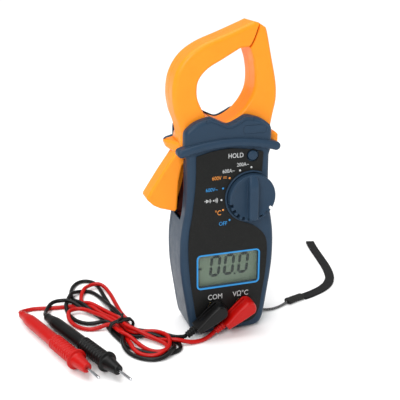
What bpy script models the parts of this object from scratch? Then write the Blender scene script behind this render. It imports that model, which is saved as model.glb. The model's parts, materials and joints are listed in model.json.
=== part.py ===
"""Clamp meter with its two test leads and wrist strap, standing upright on its foot.

Lengths are millimetres, scaled to metres as each mesh is made. X is to the right seen
from the front, Y towards the back and Z up. The origin is the middle of the foot.
"""

import math

import bmesh
import bpy
from mathutils import Matrix, Vector

MM = 0.001
GAP = 0.3

# Case
FRONT_Y = -16.4
BACK_Y = 15.2
PARTING_Y = 9.0
WALL = 2.2
OPEN_HALF_DEPTH = 10.6
OPEN_FROM_Z = 115.8
GUARD_FRONT_Y = -19.0
GUARD_BACK_Y = 18.2
GUARD_HALF_SPAN = 29.8
GUARD_RISE = 4.3
GUARD_TIP_Z = 121.7
GUARD_HALF_WIDTH = 2.6
PANEL_FRONT_Y = -17.2
PANEL_BACK_Y = FRONT_Y - GAP
INSIDE_FRONT_Y = FRONT_Y + WALL
INSIDE_BACK_Y = BACK_Y - WALL

# Jaws
JAW_HALF_DEPTH = 10.0
JAW_PIVOT = (-19.0, 121.0)
PIVOT_RADIUS = 2.0
SEAM_RADIUS = 21.0
NECK_FRONT_Y = -6.0
CORE_HALF_WIDTH = 3.6
CORE_HALF_DEPTH = 6.0
COIL_HALF_WIDTH = 5.0
COIL_HALF_DEPTH = 7.6
TRIGGER_FRONT_Y = -7.0
TRIGGER_BACK_Y = 6.0

# Front controls
DIAL = (13.7, 91.2)
DIAL_RADIUS = 15.0
DIAL_WELL = 16.7
ROTOR_RADIUS = 9.8
DETENT_RADIUS = 1.1
HOLD = (14.5, 117.2)
HOLD_RADIUS = 3.1
DISPLAY_X = 20.0
DISPLAY_Z = (33.2, 54.9)
JACK_X = 9.5
JACK_Z = 17.8
JACK_RADIUS = 4.2

# Circuit board and power
BOARD_Y = (-9.4, -7.8)
CELL_RADIUS = 5.25
CELL_X = 5.6
CELL_Y = 5.0
CELL_Z = (15.3, 59.8)
DOOR_HALF_WIDTH = 13.5
DOOR_Z = (9.8, 70.2)
DOOR_SCREW_Z = 66.2
CASE_SCREWS = [(-21.5, 13.8), (21.5, 13.8), (-21.0, 70.0), (21.0, 70.0)]

# Leads and strap
LEAD_RADIUS = 1.35
PLUG_FALL = math.radians(35.5)
PLUG_Y = -21.4
PIN_RADIUS = 2.0
STRAP_HALF_WIDTH = 3.3

LOOKS = {
    "case_plastic": ((0.038, 0.070, 0.114), 0.38, 0.0),
    "jaw_plastic": ((1.0, 0.37, 0.03), 0.35, 0.0),
    "panel_black": ((0.020, 0.020, 0.018), 0.45, 0.0),
    "display_glass": ((0.13, 0.18, 0.13), 0.2, 0.0),
    "clear_lens": ((0.8, 0.85, 0.8), 0.05, 0.0),
    "rubber_black": ((0.02, 0.02, 0.02), 0.7, 0.0),
    "lead_red": ((0.72, 0.015, 0.012), 0.4, 0.0),
    "lead_black": ((0.018, 0.02, 0.019), 0.4, 0.0),
    "steel": ((0.6, 0.6, 0.62), 0.25, 1.0),
    "core_steel": ((0.3, 0.3, 0.32), 0.45, 1.0),
    "brass": ((0.75, 0.55, 0.22), 0.3, 1.0),
    "copper_coil": ((0.6, 0.2, 0.08), 0.4, 1.0),
    "board_green": ((0.02, 0.15, 0.05), 0.5, 0.0),
    "cell_wrap": ((0.35, 0.35, 0.36), 0.35, 0.3),
    "strap_fabric": ((0.015, 0.015, 0.016), 0.85, 0.0),
}


# ---------------------------------------------------------------- outlines


def arc(centre, radius, start, end, steps):
    """Points of an arc, in degrees counterclockwise seen from the front."""
    angles = [math.radians(start + (end - start) * i / steps) for i in range(steps + 1)]
    return [(centre[0] + radius * math.cos(a), centre[1] + radius * math.sin(a)) for a in angles]


def smooth(knots, steps=3, closed=False):
    """Points of a Catmull-Rom curve through the knots."""
    knots = [Vector(knot) for knot in knots]
    count = len(knots)
    points = []
    for i in range(count if closed else count - 1):
        if closed:
            a, b, c, d = (knots[(i + k) % count] for k in (-1, 0, 1, 2))
        else:
            b, c = knots[i], knots[i + 1]
            a = knots[i - 1] if i else b * 2 - c
            d = knots[i + 2] if i + 2 < count else c * 2 - b
        for step in range(steps):
            t = step / steps
            points.append(
                0.5 * (2 * b + (c - a) * t + (2 * a - 5 * b + 4 * c - d) * t**2 + (3 * b - a - 3 * c + d) * t**3)
            )
    if not closed:
        points.append(knots[-1])
    return [tuple(point) for point in points]


def mirrored(points):
    return [(-x, z) for x, z in points]


def band(line, half_width):
    """Outline of a strip of even width along a line of points."""
    line = [Vector(point) for point in line]
    left, right = [], []
    for i, point in enumerate(line):
        along = (line[min(i + 1, len(line) - 1)] - line[max(i - 1, 0)]).normalized()
        side = Vector((-along.y, along.x)) * half_width
        left.append(tuple(point + side))
        right.append(tuple(point - side))
    return right + left[::-1]


def inset(outline, distance):
    """A counterclockwise outline moved inwards."""
    points = [Vector(point) for point in outline]
    moved = []
    for i, point in enumerate(points):
        before = (point - points[i - 1]).normalized()
        after = (points[(i + 1) % len(points)] - point).normalized()
        inward = Vector((-before.y - after.y, before.x + after.x)).normalized()
        lean = max(0.5, inward.dot(Vector((-before.y, before.x))))
        moved.append(tuple(point + inward * distance / lean))
    return moved


def rounded_rectangle(low, high, radius, steps=3):
    points = []
    for x, z, start in (
        (high[0] - radius, low[1] + radius, -90),
        (high[0] - radius, high[1] - radius, 0),
        (low[0] + radius, high[1] - radius, 90),
        (low[0] + radius, low[1] + radius, 180),
    ):
        points += arc((x, z), radius, start, start + 90, steps)
    return points


# ---------------------------------------------------------------- objects


def start():
    for item in list(bpy.data.objects):
        bpy.data.objects.remove(item)
    for name in ("clamp_meter", "cutters"):
        bpy.context.scene.collection.children.link(bpy.data.collections.new(name))
    for name, (colour, roughness, metallic) in LOOKS.items():
        look = bpy.data.materials.new(name)
        look.use_nodes = True
        shader = look.node_tree.nodes["Principled BSDF"]
        shader.inputs["Base Color"].default_value = (*colour, 1)
        shader.inputs["Roughness"].default_value = roughness
        shader.inputs["Metallic"].default_value = metallic


def added(name, mesh, look, matrix=None):
    mesh.name = name
    mesh.materials.clear()
    mesh.materials.append(bpy.data.materials[look])
    item = bpy.data.objects.new(name, mesh)
    if matrix is not None:
        item.matrix_world = matrix
    bpy.data.collections["clamp_meter"].objects.link(item)
    return item


def slab(name, outlines, near, far, look, flat=False):
    """Outlines extruded from Y near to Y far, or from Z near to Z far when flat. Inner outlines are holes."""
    curve = bpy.data.curves.new(name, "CURVE")
    curve.dimensions = "2D"
    curve.fill_mode = "BOTH"
    curve.extrude = (far - near) / 2 * MM
    for outline in outlines:
        spline = curve.splines.new("POLY")
        spline.points.add(len(outline) - 1)
        for point, (a, b) in zip(spline.points, outline):
            point.co = (a * MM, b * MM, 0, 1)
        spline.use_cyclic_u = True
    guide = bpy.data.objects.new(name + "_guide", curve)
    middle = (near + far) / 2 * MM
    if flat:
        guide.matrix_world = Matrix.Translation((0, 0, middle))
    else:
        guide.matrix_world = Matrix.Translation((0, middle, 0)) @ Matrix.Rotation(math.radians(90), 4, "X")
    bpy.context.scene.collection.objects.link(guide)
    bpy.context.view_layer.update()
    mesh = bpy.data.meshes.new_from_object(guide.evaluated_get(bpy.context.evaluated_depsgraph_get()))
    matrix = guide.matrix_world.copy()
    bpy.data.objects.remove(guide)
    shape = bmesh.new()
    shape.from_mesh(mesh)
    bmesh.ops.remove_doubles(shape, verts=shape.verts, dist=1e-6)
    bmesh.ops.dissolve_limit(shape, angle_limit=0.005, verts=shape.verts, edges=shape.edges)
    bmesh.ops.recalc_face_normals(shape, faces=shape.faces)
    shape.to_mesh(mesh)
    shape.free()
    return added(name, mesh, look, matrix)


def rounded(item, width, sides, segments=2):
    """Rounds the rims of a slab: "near" is its front or lower face, "far" its back or upper one."""
    mesh = item.data
    heights = [vertex.co.z for vertex in mesh.vertices]
    # A slab that faces front is turned over, so its front face is the high side of its own Z.
    turned_over = abs(item.matrix_world[1][2]) > 0.5
    planes = {
        "near": max(heights) if turned_over else min(heights),
        "far": min(heights) if turned_over else max(heights),
    }
    weights = mesh.attributes.new("bevel_weight_edge", "FLOAT", "EDGE")
    for edge, weight in zip(mesh.edges, weights.data):
        ends = [mesh.vertices[index].co.z for index in edge.vertices]
        weight.value = any(all(abs(end - planes[side]) < 1e-6 for end in ends) for side in sides)
    bevel = item.modifiers.new("rounding", "BEVEL")
    bevel.limit_method = "WEIGHT"
    bevel.width = width * MM
    bevel.segments = segments
    return item


def block(name, low, high, look):
    shape = bmesh.new()
    bmesh.ops.create_cube(shape, size=1)
    mesh = bpy.data.meshes.new(name)
    size = [(b - a) * MM for a, b in zip(low, high)]
    bmesh.ops.scale(shape, vec=size, verts=shape.verts)
    shape.to_mesh(mesh)
    shape.free()
    middle = [(a + b) / 2 * MM for a, b in zip(low, high)]
    return added(name, mesh, look, Matrix.Translation(middle))


def turned(name, profile, look, base=(0, 0, 0), along=(0, 1, 0), steps=24):
    """A turned piece: (distance along its axis, radius) pairs, from its start at base."""
    mesh = bpy.data.meshes.new(name)
    points = [(radius * MM, 0, distance * MM) for distance, radius in reversed(profile)]
    mesh.from_pydata(points, [(i, i + 1) for i in range(len(points) - 1)], [])
    aim = Vector(along).to_track_quat("Z", "X").to_matrix().to_4x4()
    item = added(name, mesh, look, Matrix.Translation(Vector(base) * MM) @ aim)
    screw = item.modifiers.new("turning", "SCREW")
    screw.steps = screw.render_steps = steps
    screw.use_merge_vertices = True
    screw.merge_threshold = 1e-5
    return item


def rod(name, centre, near, far, radius, look, steps=24):
    """A round bar along Y, centred on an X and Z."""
    profile = [(0, 0), (0, radius), (far - near, radius), (far - near, 0)]
    return turned(name, profile, look, (centre[0], near, centre[1]), steps=steps)


def tube(name, centre, near, far, outer, inner, look, steps=24):
    """A round tube along Y."""
    profile = [(0, inner), (0, outer), (far - near, outer), (far - near, inner), (0, inner)]
    return turned(name, profile, look, (centre[0], near, centre[1]), steps=steps)


def wire(name, points, radius, look, resolution=2):
    curve = bpy.data.curves.new(name, "CURVE")
    curve.dimensions = "3D"
    curve.bevel_depth = radius * MM
    curve.bevel_resolution = resolution
    curve.use_fill_caps = True
    spline = curve.splines.new("POLY")
    spline.points.add(len(points) - 1)
    for point, place in zip(spline.points, points):
        point.co = (*(value * MM for value in place), 1)
    curve.materials.append(bpy.data.materials[look])
    item = bpy.data.objects.new(name, curve)
    bpy.data.collections["clamp_meter"].objects.link(item)
    return item


def helix(centre, radius, low, high, turns, points_per_turn=8):
    """Points of a coil spring along Z."""
    count = int(turns * points_per_turn)
    points = []
    for i in range(count + 1):
        angle = math.tau * i / points_per_turn
        place = (centre[0] + radius * math.cos(angle), centre[1] + radius * math.sin(angle))
        points.append((*place, low + (high - low) * i / count))
    return points


def boolean(item, other, operation):
    change = item.modifiers.new(other.name, "BOOLEAN")
    change.operation = operation
    change.object = other
    other.hide_render = True
    other.display_type = "WIRE"
    bpy.data.collections["clamp_meter"].objects.unlink(other)
    bpy.data.collections["cutters"].objects.link(other)


def cut(item, *others):
    for other in others:
        boolean(item, other, "DIFFERENCE")


def join(item, *others):
    for other in others:
        boolean(item, other, "UNION")


def moving(name, x, y, z, *items):
    """An empty on a joint's axis that carries the joint's pieces."""
    pivot = bpy.data.objects.new(name, None)
    bpy.data.collections["clamp_meter"].objects.link(pivot)
    pivot.location = (x * MM, y * MM, z * MM)
    bpy.context.view_layer.update()
    for item in items:
        item.parent = pivot
        item.matrix_parent_inverse = pivot.matrix_world.inverted()


# ---------------------------------------------------------------- case


def case_outline():
    body = [(16, 0), (21.2, 1), (24.3, 4.6), (26, 12), (27.6, 23), (29.6, 37), (30.6, 48), (30.6, 62)]
    body += [(29.4, 73), (27.4, 84), (26.4, 98), (26.2, 116)]
    shield_side = [(27.3, 120), (27.4, 131), (26.4, 134.6)]
    shield_top = [(26.4, 134.6), (21, 138.6), (14.5, 140.8), (10.5, 141.2), (5.5, 138.8), (0, 136.8)]
    right = smooth(body, 2) + smooth(shield_side, 2)[:-1] + smooth(shield_top, 2)
    return right + mirrored(right[-2::-1])


def guard_outline():
    """A bar along a shallow arch, with round ends."""
    radius = (GUARD_HALF_SPAN**2 + GUARD_RISE**2) / (2 * GUARD_RISE)
    middle = (0, GUARD_TIP_Z + GUARD_RISE - radius)
    half_angle = math.degrees(math.asin(GUARD_HALF_SPAN / radius))
    steps = 10
    lower = arc(middle, radius - GUARD_HALF_WIDTH, 90 + half_angle, 90 - half_angle, steps)
    upper = arc(middle, radius + GUARD_HALF_WIDTH, 90 - half_angle, 90 + half_angle, steps)
    right_end = arc((GUARD_HALF_SPAN, GUARD_TIP_Z), GUARD_HALF_WIDTH, -90 - half_angle, 90 - half_angle, 5)
    left_end = arc((-GUARD_HALF_SPAN, GUARD_TIP_Z), GUARD_HALF_WIDTH, 90 + half_angle, 270 + half_angle, 5)
    return lower + right_end[1:-1] + upper + left_end[1:-1]


def jaw_opening(name):
    low = (-40, -OPEN_HALF_DEPTH, OPEN_FROM_Z)
    return block(name, low, (40, OPEN_HALF_DEPTH, 150), "case_plastic")


def make_front_case():
    look = "case_plastic"
    case = rounded(slab("front_case", [case_outline()], FRONT_Y, PARTING_Y - GAP / 2, look), 3.2, ["near"], 3)
    guard = slab("front_guard", [guard_outline()], GUARD_FRONT_Y, -11, look)
    join(case, rounded(guard, 1.4, ["near"]))
    cavity = slab("front_cavity", [inset(case_outline(), WALL)], INSIDE_FRONT_Y, PARTING_Y + 1, look)
    cut(case, cavity, jaw_opening("front_jaw_opening"))
    cut(case, block("trigger_slot", (-34, -7.8, 77), (-22, 6.8, 118), look))
    low = (-DISPLAY_X, FRONT_Y - 1, DISPLAY_Z[0])
    cut(case, block("display_hole", low, (DISPLAY_X, INSIDE_FRONT_Y + 1, DISPLAY_Z[1]), look))
    cut(case, rod("dial_hole", DIAL, FRONT_Y - 1, INSIDE_FRONT_Y + 1, 6.4, look))
    cut(case, rod("hold_hole", HOLD, FRONT_Y - 1, INSIDE_FRONT_Y + 1, HOLD_RADIUS + 0.4, look))
    for side in (-1, 1):
        place = (side * JACK_X, JACK_Z)
        cut(case, rod(f"jack_hole_{side}", place, FRONT_Y - 1, INSIDE_FRONT_Y + 1, JACK_RADIUS + 0.4, look))
    for number, place in enumerate(CASE_SCREWS):
        join(case, rod(f"screw_post_{number}", place, INSIDE_FRONT_Y - 1, PARTING_Y - 0.4, 3, look, 12))
        cut(case, rod(f"screw_thread_{number}", place, -8, PARTING_Y + 1, 1.5, look, 12))
    join(case, rod("front_pivot_post", JAW_PIVOT, INSIDE_FRONT_Y - 1, -JAW_HALF_DEPTH - 0.4, 4, look, 16))
    cut(case, rod("front_pivot_hole", JAW_PIVOT, INSIDE_FRONT_Y, 0, PIVOT_RADIUS + GAP, look, 16))
    detent_seat = ((DIAL[0] - 2, INSIDE_FRONT_Y - 1, 110.5), (DIAL[0] + 2, -11, 112.2))
    join(case, block("detent_seat", *detent_seat, look))


def make_rear_case():
    look = "case_plastic"
    case = rounded(slab("rear_case", [case_outline()], PARTING_Y + GAP / 2, BACK_Y, look), 3, ["far"], 3)
    join(case, rounded(slab("rear_guard", [guard_outline()], 11, GUARD_BACK_Y, look), 1.4, ["far"]))
    cavity = slab("rear_cavity", [inset(case_outline(), WALL)], PARTING_Y - 1, INSIDE_BACK_Y, look)
    cut(case, cavity, jaw_opening("rear_jaw_opening"))
    join(case, block("cell_tray", (-12.6, -2.5, 9.8), (12.6, INSIDE_BACK_Y + 0.4, 62.2), look))
    join(case, rod("door_post", (0, DOOR_SCREW_Z), 3.5, INSIDE_BACK_Y + 0.4, 3.2, look, 12))
    door_low = (-DOOR_HALF_WIDTH - GAP, 13.9, DOOR_Z[0] - GAP)
    cut(case, block("door_recess", door_low, (DOOR_HALF_WIDTH + GAP, 20, DOOR_Z[1] + GAP), look))
    cut(case, block("cell_bay", (-11.4, -1.3, 11), (11.4, 20, 61), look))
    cut(case, rod("door_thread", (0, DOOR_SCREW_Z), 3, 20, 1.5, look, 12))
    for number, place in enumerate(CASE_SCREWS):
        join(case, rod(f"rear_post_{number}", place, PARTING_Y + 0.2, INSIDE_BACK_Y + 0.4, 4, look, 12))
        counterbore = [(0, 0), (0, 1.7), (3.5, 1.7), (3.5, 3.1), (12, 3.1), (12, 0)]
        cut(case, turned(f"screw_hole_{number}", counterbore, look, (place[0], PARTING_Y - 1, place[1]), steps=12))
    join(case, rod("rear_pivot_post", JAW_PIVOT, JAW_HALF_DEPTH + 0.4, INSIDE_BACK_Y + 0.4, 4, look, 16))
    cut(case, rod("rear_pivot_hole", JAW_PIVOT, 0, INSIDE_BACK_Y, PIVOT_RADIUS + GAP, look, 16))


def panel_outline():
    """Follows the case's edge, and steps round the dial on the right."""
    left = [(-20.9, 119.2), (-21.4, 101), (-23.6, 82), (-25.6, 70), (-26.1, 57), (-25, 40), (-23, 25), (-21.6, 14)]
    lower_left = [(-21.6, 14), (-18.6, 7.6), (-13, 4.9), (0, 4)]
    right = [(21.6, 14), (23, 25), (25, 40), (25.6, 56), (23.6, 64.5), (17.3, 71), (10, 74.6)]
    round_dial = arc(DIAL, DIAL_WELL, 254, 65, 18)
    top = [(21.2, 119.4), (11, 121.8), (0, 122.5), (-11, 121.8)]
    bottom = smooth(lower_left, 2)
    edge = smooth(left, 2)[:-1] + bottom[:-1] + mirrored(bottom[::-1])[:-1]
    return edge + smooth(right, 2)[:-1] + round_dial + top


def make_front_controls():
    display = rounded_rectangle((-DISPLAY_X, DISPLAY_Z[0]), (DISPLAY_X, DISPLAY_Z[1]), 2)
    holes = [display, arc(HOLD, 3.9, 0, 337.5, 15)]
    holes += [arc((side * JACK_X, JACK_Z), 5.4, 0, 337.5, 15) for side in (-1, 1)]
    slab("face_panel", [panel_outline(), *holes], PANEL_FRONT_Y, PANEL_BACK_Y, "panel_black")
    lens = rounded_rectangle((-DISPLAY_X + GAP, DISPLAY_Z[0] + GAP), (DISPLAY_X - GAP, DISPLAY_Z[1] - GAP), 2)
    slab("display_lens", [lens], -16.9, -15.4, "clear_lens")
    block("display_cell", (-21, -13.8, 31.6), (21, -12, 55.8), "display_glass")
    for name, low, high in (("lower", 32, 34), ("upper", 53.4, 55.4)):
        block(f"{name}_contact_strip", (-20, -11.7, low), (20, BOARD_Y[0] - GAP, high), "rubber_black")

    button_profile = [(0, 0), (0, 2.2), (0.5, 3.1), (4.3, 3.1), (4.3, 4.3), (5.1, 4.3), (5.1, 1.5)]
    button_profile += [(6.2, 1.5), (6.2, 0)]
    button = turned("hold_button", button_profile, "case_plastic", (HOLD[0], -18.2, HOLD[1]))
    moving("hold_button_slide", HOLD[0], 0, HOLD[1], button)
    rod("button_dome", HOLD, -11, BOARD_Y[0] - GAP, 2.6, "rubber_black", 16)

    knob_profile = [(0, 0), (0, DIAL_RADIUS - 1.4), (1.2, DIAL_RADIUS), (4, DIAL_RADIUS), (4, 5.6)]
    knob_profile += [(11.4, 5.6), (11.4, 0)]
    knob = turned("range_dial", knob_profile, "case_plastic", (DIAL[0], -21.5, DIAL[1]), steps=32)
    grip_low = (DIAL[0] - 3.6, -24.4, DIAL[1] - DIAL_RADIUS + 1)
    grip = block("dial_grip", grip_low, (DIAL[0] + 3.6, -21, DIAL[1] + DIAL_RADIUS - 1), "case_plastic")
    join(knob, grip)
    rotor = tube("dial_rotor", DIAL, -13.8, -11.7, ROTOR_RADIUS, 5.9, "rubber_black")
    wiper = tube("dial_wiper", DIAL, -11.4, -11, ROTOR_RADIUS - 1, 6.5, "brass")
    moving("dial_axis", DIAL[0], 0, DIAL[1], knob, rotor, wiper)

    ball = bmesh.new()
    bmesh.ops.create_uvsphere(ball, u_segments=10, v_segments=6, radius=DETENT_RADIUS * MM)
    mesh = bpy.data.meshes.new("detent_ball")
    ball.to_mesh(mesh)
    ball.free()
    ball_z = DIAL[1] + ROTOR_RADIUS + DETENT_RADIUS + GAP
    added("detent_ball", mesh, "steel", Matrix.Translation((DIAL[0] * MM, -12.75 * MM, ball_z * MM)))
    wire("detent_spring", helix((DIAL[0], -12.6), 0.9, ball_z + 1.7, 109.7, 5), 0.2, "steel", 1)

    for name, side in (("com", -1), ("volt", 1)):
        place = (side * JACK_X, JACK_Z)
        tube(f"{name}_jack", place, -16, -4, JACK_RADIUS, PIN_RADIUS + 0.35, "brass", 20)


def make_board():
    outline = [(-17.5, 7), (17.5, 7), (17.5, 18), (22.5, 20), (22.5, 65), (17.5, 66.5), (17.5, 74), (21.5, 76)]
    outline += [(21.5, 121), (4, 121), (4, 104), (-17.5, 104), (-17.5, 66.5), (-22.5, 65), (-22.5, 20), (-17.5, 18)]
    holes = [arc((side * JACK_X, JACK_Z), JACK_RADIUS + 0.4, 0, 337.5, 15) for side in (-1, 1)]
    slab("circuit_board", [outline, *holes], *BOARD_Y, "board_green")
    rod("buzzer", (-6, 82), BOARD_Y[1] + GAP, -4, 6.5, "rubber_black", 20)


def make_power():
    for number, side in ((1, -1), (2, 1)):
        base = (side * CELL_X, CELL_Y, CELL_Z[0])
        length = CELL_Z[1] - CELL_Z[0]
        profile = [(0, 0), (0, CELL_RADIUS), (length - 0.8, CELL_RADIUS), (length - 0.8, 1.9)]
        profile += [(length, 1.9), (length, 0)]
        turned(f"battery_{number}", profile, "cell_wrap", base, (0, 0, 1), 16)
        coil = helix((side * CELL_X, CELL_Y), 3, 12.4, 14.9, 2)
        wire(f"battery_spring_{number}", coil, 0.3, "steel", 1)
    block("lower_contact_plate", (-10, 0.5, 11.3), (10, 9.5, 11.7), "steel")
    block("upper_contact_plate", (-10, 0.5, 60.1), (10, 9.5, 60.5), "steel")
    outline = rounded_rectangle((-DOOR_HALF_WIDTH, DOOR_Z[0]), (DOOR_HALF_WIDTH, DOOR_Z[1]), 0.8, 1)
    door = slab("battery_door", [outline], 14.2, BACK_Y, "case_plastic")
    cut(door, rod("door_screw_hole", (0, DOOR_SCREW_Z), 12, 20, 1.6, "case_plastic", 12))
    profile = [(0, 0), (0, 1.2), (11.5, 1.2), (11.5, 2.6), (12.4, 2.6), (12.7, 2), (12.7, 0)]
    screw = turned("battery_door_screw", profile, "steel", (0, 4, DOOR_SCREW_Z), steps=12)
    moving("battery_door_slide", 0, BACK_Y, DOOR_SCREW_Z, door, screw)
    for number, (x, z) in enumerate(CASE_SCREWS, 1):
        profile = [(0, 0), (0, 1.2), (11.8, 1.2), (11.8, 2.7), (13.2, 2.7), (13.2, 0)]
        turned(f"case_screw_{number}", profile, "steel", (x, 0, z), steps=12)


# ---------------------------------------------------------------- jaws

WINDOW_LEFT = [(8.5, 179.7), (-2, 173.9), (-11, 168.9), (-16.4, 163), (-17.8, 157), (-17.2, 151), (-14.2, 144)]
WINDOW_RIGHT = [(-6.6, 138.7), (0, 137), (7.7, 140.9), (13.8, 147.4), (17.4, 155), (18, 164), (16.8, 172.5)]
OUTER_LEFT = [(11.5, 193.2), (0.2, 189), (-14.7, 183.4), (-24.4, 177), (-30.4, 168), (-33, 157.4), (-32.2, 144.4)]
OUTER_RIGHT = [(24.4, 191.3), (25.6, 187.6), (28.5, 174.4), (31.7, 159.6), (32.3, 149), (30.3, 138.5), (28.6, 129)]
SPLIT_INNER = (14.0, 180.4)
SPLIT_BEND = (17.3, 184.2)
SPLIT_OUTER = (20.0, 194.1)
MOVING_CORE = [(12.4, 186.4), (5.8, 184.2), (-4, 180), (-15, 174.7), (-21.9, 167.2), (-25.3, 157.6), (-24.9, 147.5)]
MOVING_CORE += [(-22, 138), (-17.6, 131.2), (-10, 128.6), (-3.6, 128.4)]
FIXED_CORE = [(21.3, 183), (22.6, 176), (24.4, 166), (24.9, 156), (23.5, 146.4), (19.4, 138.4), (13, 132.8)]
FIXED_CORE += [(4.6, 130.6)]


def moving_jaw_outline():
    tip = [SPLIT_INNER, SPLIT_BEND, SPLIT_OUTER, (15.2, 194.9)]
    outer = smooth([*OUTER_LEFT, (-30.2, 136.6), (-28.8, 129.4)], 2)
    flange = [(-34.4, 128.4), (-35.4, 127), (-35.4, 118.6), (-24, 118.6), (-22.2, 113.4)]
    boss = arc(JAW_PIVOT, SEAM_RADIUS, -32, 74, 12)
    window = smooth(WINDOW_LEFT, 2)
    return (window + boss[::-1] + [(-8, 108.8), (-16, 109.2)] + flange[::-1] + outer[::-1] + tip[::-1])[::-1]


def trigger_outline():
    return [(-23.5, 124), (-26, 124), (-34.8, 121), (-34.9, 118), (-40, 107.6), (-48.6, 93.4), (-48.4, 91.4)] + [
        (-44.6, 87.2), (-40.6, 85.4), (-31.6, 82.4), (-29.9, 84), (-28.7, 101), (-26.5, 111), (-23.5, 114)
    ]


def fixed_jaw_outline():
    seam = arc(JAW_PIVOT, SEAM_RADIUS + GAP, 71, -24, 11)
    neck = [(4, 106), (22.6, 106), (23.4, 118.6), (33.4, 118.6), (33.4, 127), (32.4, 128.4)]
    outer = smooth(OUTER_RIGHT, 2)[::-1]
    tip = [(x + 0.6, z - 0.4) for x, z in (SPLIT_OUTER, SPLIT_BEND, SPLIT_INNER)]
    window = smooth(WINDOW_RIGHT, 2)[::-1]
    return seam + neck + outer + tip + window


def make_jaw(name, outline, core, coil_span, coil_name):
    """Front and back shells with a pocket for the core and its coil. Returns the pieces."""
    line = smooth(core, 2)
    coil_line = line[coil_span[0] : coil_span[1]]
    pocket_line = line[coil_span[0] - 1 : coil_span[1] + 1]
    shells = []
    for half, near, far in (("front", -JAW_HALF_DEPTH, -GAP / 2), ("rear", GAP / 2, JAW_HALF_DEPTH)):
        outer_face = "near" if half == "front" else "far"
        shell = rounded(slab(f"{name}_{half}", [outline], near, far, "jaw_plastic"), 2.2, [outer_face])
        pocket_depth = CORE_HALF_DEPTH + GAP
        pocket_outline = band(line, CORE_HALF_WIDTH + GAP)
        pocket = slab(f"{name}_{half}_pocket", [pocket_outline], -pocket_depth, pocket_depth, "steel")
        coil_depth = COIL_HALF_DEPTH + GAP
        bay_outline = band(pocket_line, COIL_HALF_WIDTH + GAP)
        coil_pocket = slab(f"{name}_{half}_bay", [bay_outline], -coil_depth, coil_depth, "steel")
        cut(shell, pocket, coil_pocket)
        shells.append(shell)
    # The core stops short of its pocket's ends by moving its two end points inwards.
    ends = [Vector(line[0]).lerp(Vector(line[1]), 0.12), Vector(line[-1]).lerp(Vector(line[-2]), 0.14)]
    core_line = [tuple(ends[0]), *line[1:-1], tuple(ends[1])]
    core_outline = band(core_line, CORE_HALF_WIDTH)
    core_piece = slab(f"{name}_core", [core_outline], -CORE_HALF_DEPTH, CORE_HALF_DEPTH, "core_steel")
    coil = slab(coil_name, [band(coil_line, COIL_HALF_WIDTH)], -COIL_HALF_DEPTH, COIL_HALF_DEPTH, "copper_coil")
    bore_depth = CORE_HALF_DEPTH + GAP
    cut(coil, slab(f"{coil_name}_bore", [band(line, CORE_HALF_WIDTH + GAP)], -bore_depth, bore_depth, "steel"))
    return shells, core_piece, coil


def make_jaws():
    look = "jaw_plastic"
    shells, core, coil = make_jaw("moving_jaw", moving_jaw_outline(), MOVING_CORE, (9, 14), "moving_coil")
    for shell, near, far in zip(shells, (TRIGGER_FRONT_Y, GAP / 2), (-GAP / 2, TRIGGER_BACK_Y)):
        join(shell, slab(f"{shell.name}_trigger", [trigger_outline()], near, far, look))
        cut(shell, rod(f"{shell.name}_hub", JAW_PIVOT, -12, 12, PIVOT_RADIUS + 0.35, look, 16))
    recess = ((-23.9, -12, 100), (10, NECK_FRONT_Y - GAP, 118.3))
    cut(shells[0], block("moving_neck_recess", *recess, look))
    moving("jaw_axis", JAW_PIVOT[0], 0, JAW_PIVOT[1], *shells, core, coil)

    shells, _, _ = make_jaw("fixed_jaw", fixed_jaw_outline(), FIXED_CORE, (5, 10), "fixed_coil")
    cut(shells[0], block("fixed_neck_recess", (-5, -12, 100), (24.4, NECK_FRONT_Y, 123), look))

    rod("jaw_pivot_pin", JAW_PIVOT, INSIDE_FRONT_Y + GAP, INSIDE_BACK_Y - GAP, PIVOT_RADIUS, "steel", 16)
    wire("jaw_return_spring", helix((-10.5, 2), 2.6, 94.6, 108, 6), 0.35, "steel", 1)
    spring_post = block("spring_post", (-13, 0.8, 91), (-8, 3.2, 93.9), "case_plastic")
    spring_rib = block("spring_rib", (-14, 1.6, 90), (-7, 13.4, 92.4), "case_plastic")
    join(bpy.data.objects["rear_case"], spring_rib, spring_post)


# ---------------------------------------------------------------- leads and strap

RED_PROBE = ((-125.4, 36.8, 4.9), (-90.7, -59.3, 8.0))
BLACK_PROBE = ((-110.1, 28.3, 4.9), (-73.8, -66.6, 8.0))
RED_EXIT = [(-10.6, -21.6, 3.5), (-14, -23.4, 2.3), (-20.6, -26.2, 1.6), (-28, -26.6, 1.5), (-35, -24.4, 1.5)]
BLACK_EXIT = [(-29.8, -21.2, 3.4), (-31.6, -20.2, 2.6), (-34.4, -18, 1.9), (-37.3, -14.9, 1.5)]
BLACK_EXIT += [(-40.2, -11.6, 1.5)]
RED_RUN = [(-100.8, 45.5, 1.5), (-105.8, 45.9, 1.5), (-111.8, 47.5, 1.5), (-118.3, 48.5, 1.6), (-123.9, 47.9, 2.4)]
RED_RUN += [(-126.8, 44.3, 3.6), (-126.8, 40.7, 4.5), (-125.7, 37.7, 4.9)]
BLACK_RUN = [(-99.2, 53.4, 1.6), (-103.2, 52, 3.6), (-106.8, 48, 5.5), (-109.6, 41.3, 5.5), (-111, 34.3, 5)]
BLACK_RUN += [(-110.4, 29.1, 4.9)]
HANK = [(-59.6, 7.7), (-59.6, 22.2), (-59.9, 42.3), (-60.6, 58.4), (-64.6, 72), (-71.6, 82), (-78.7, 84)]
HANK += [(-85.7, 81), (-90.7, 71), (-94.7, 59.4), (-98.4, 48.3), (-99.2, 35.3), (-97.8, 22.2), (-93.7, 11.2)]
HANK += [(-84.7, 5.6), (-75.1, 3.6), (-71.1, -1.9), (-70.1, -12), (-69.6, -25), (-66.1, -35.1), (-56.6, -41.6)]
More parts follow.
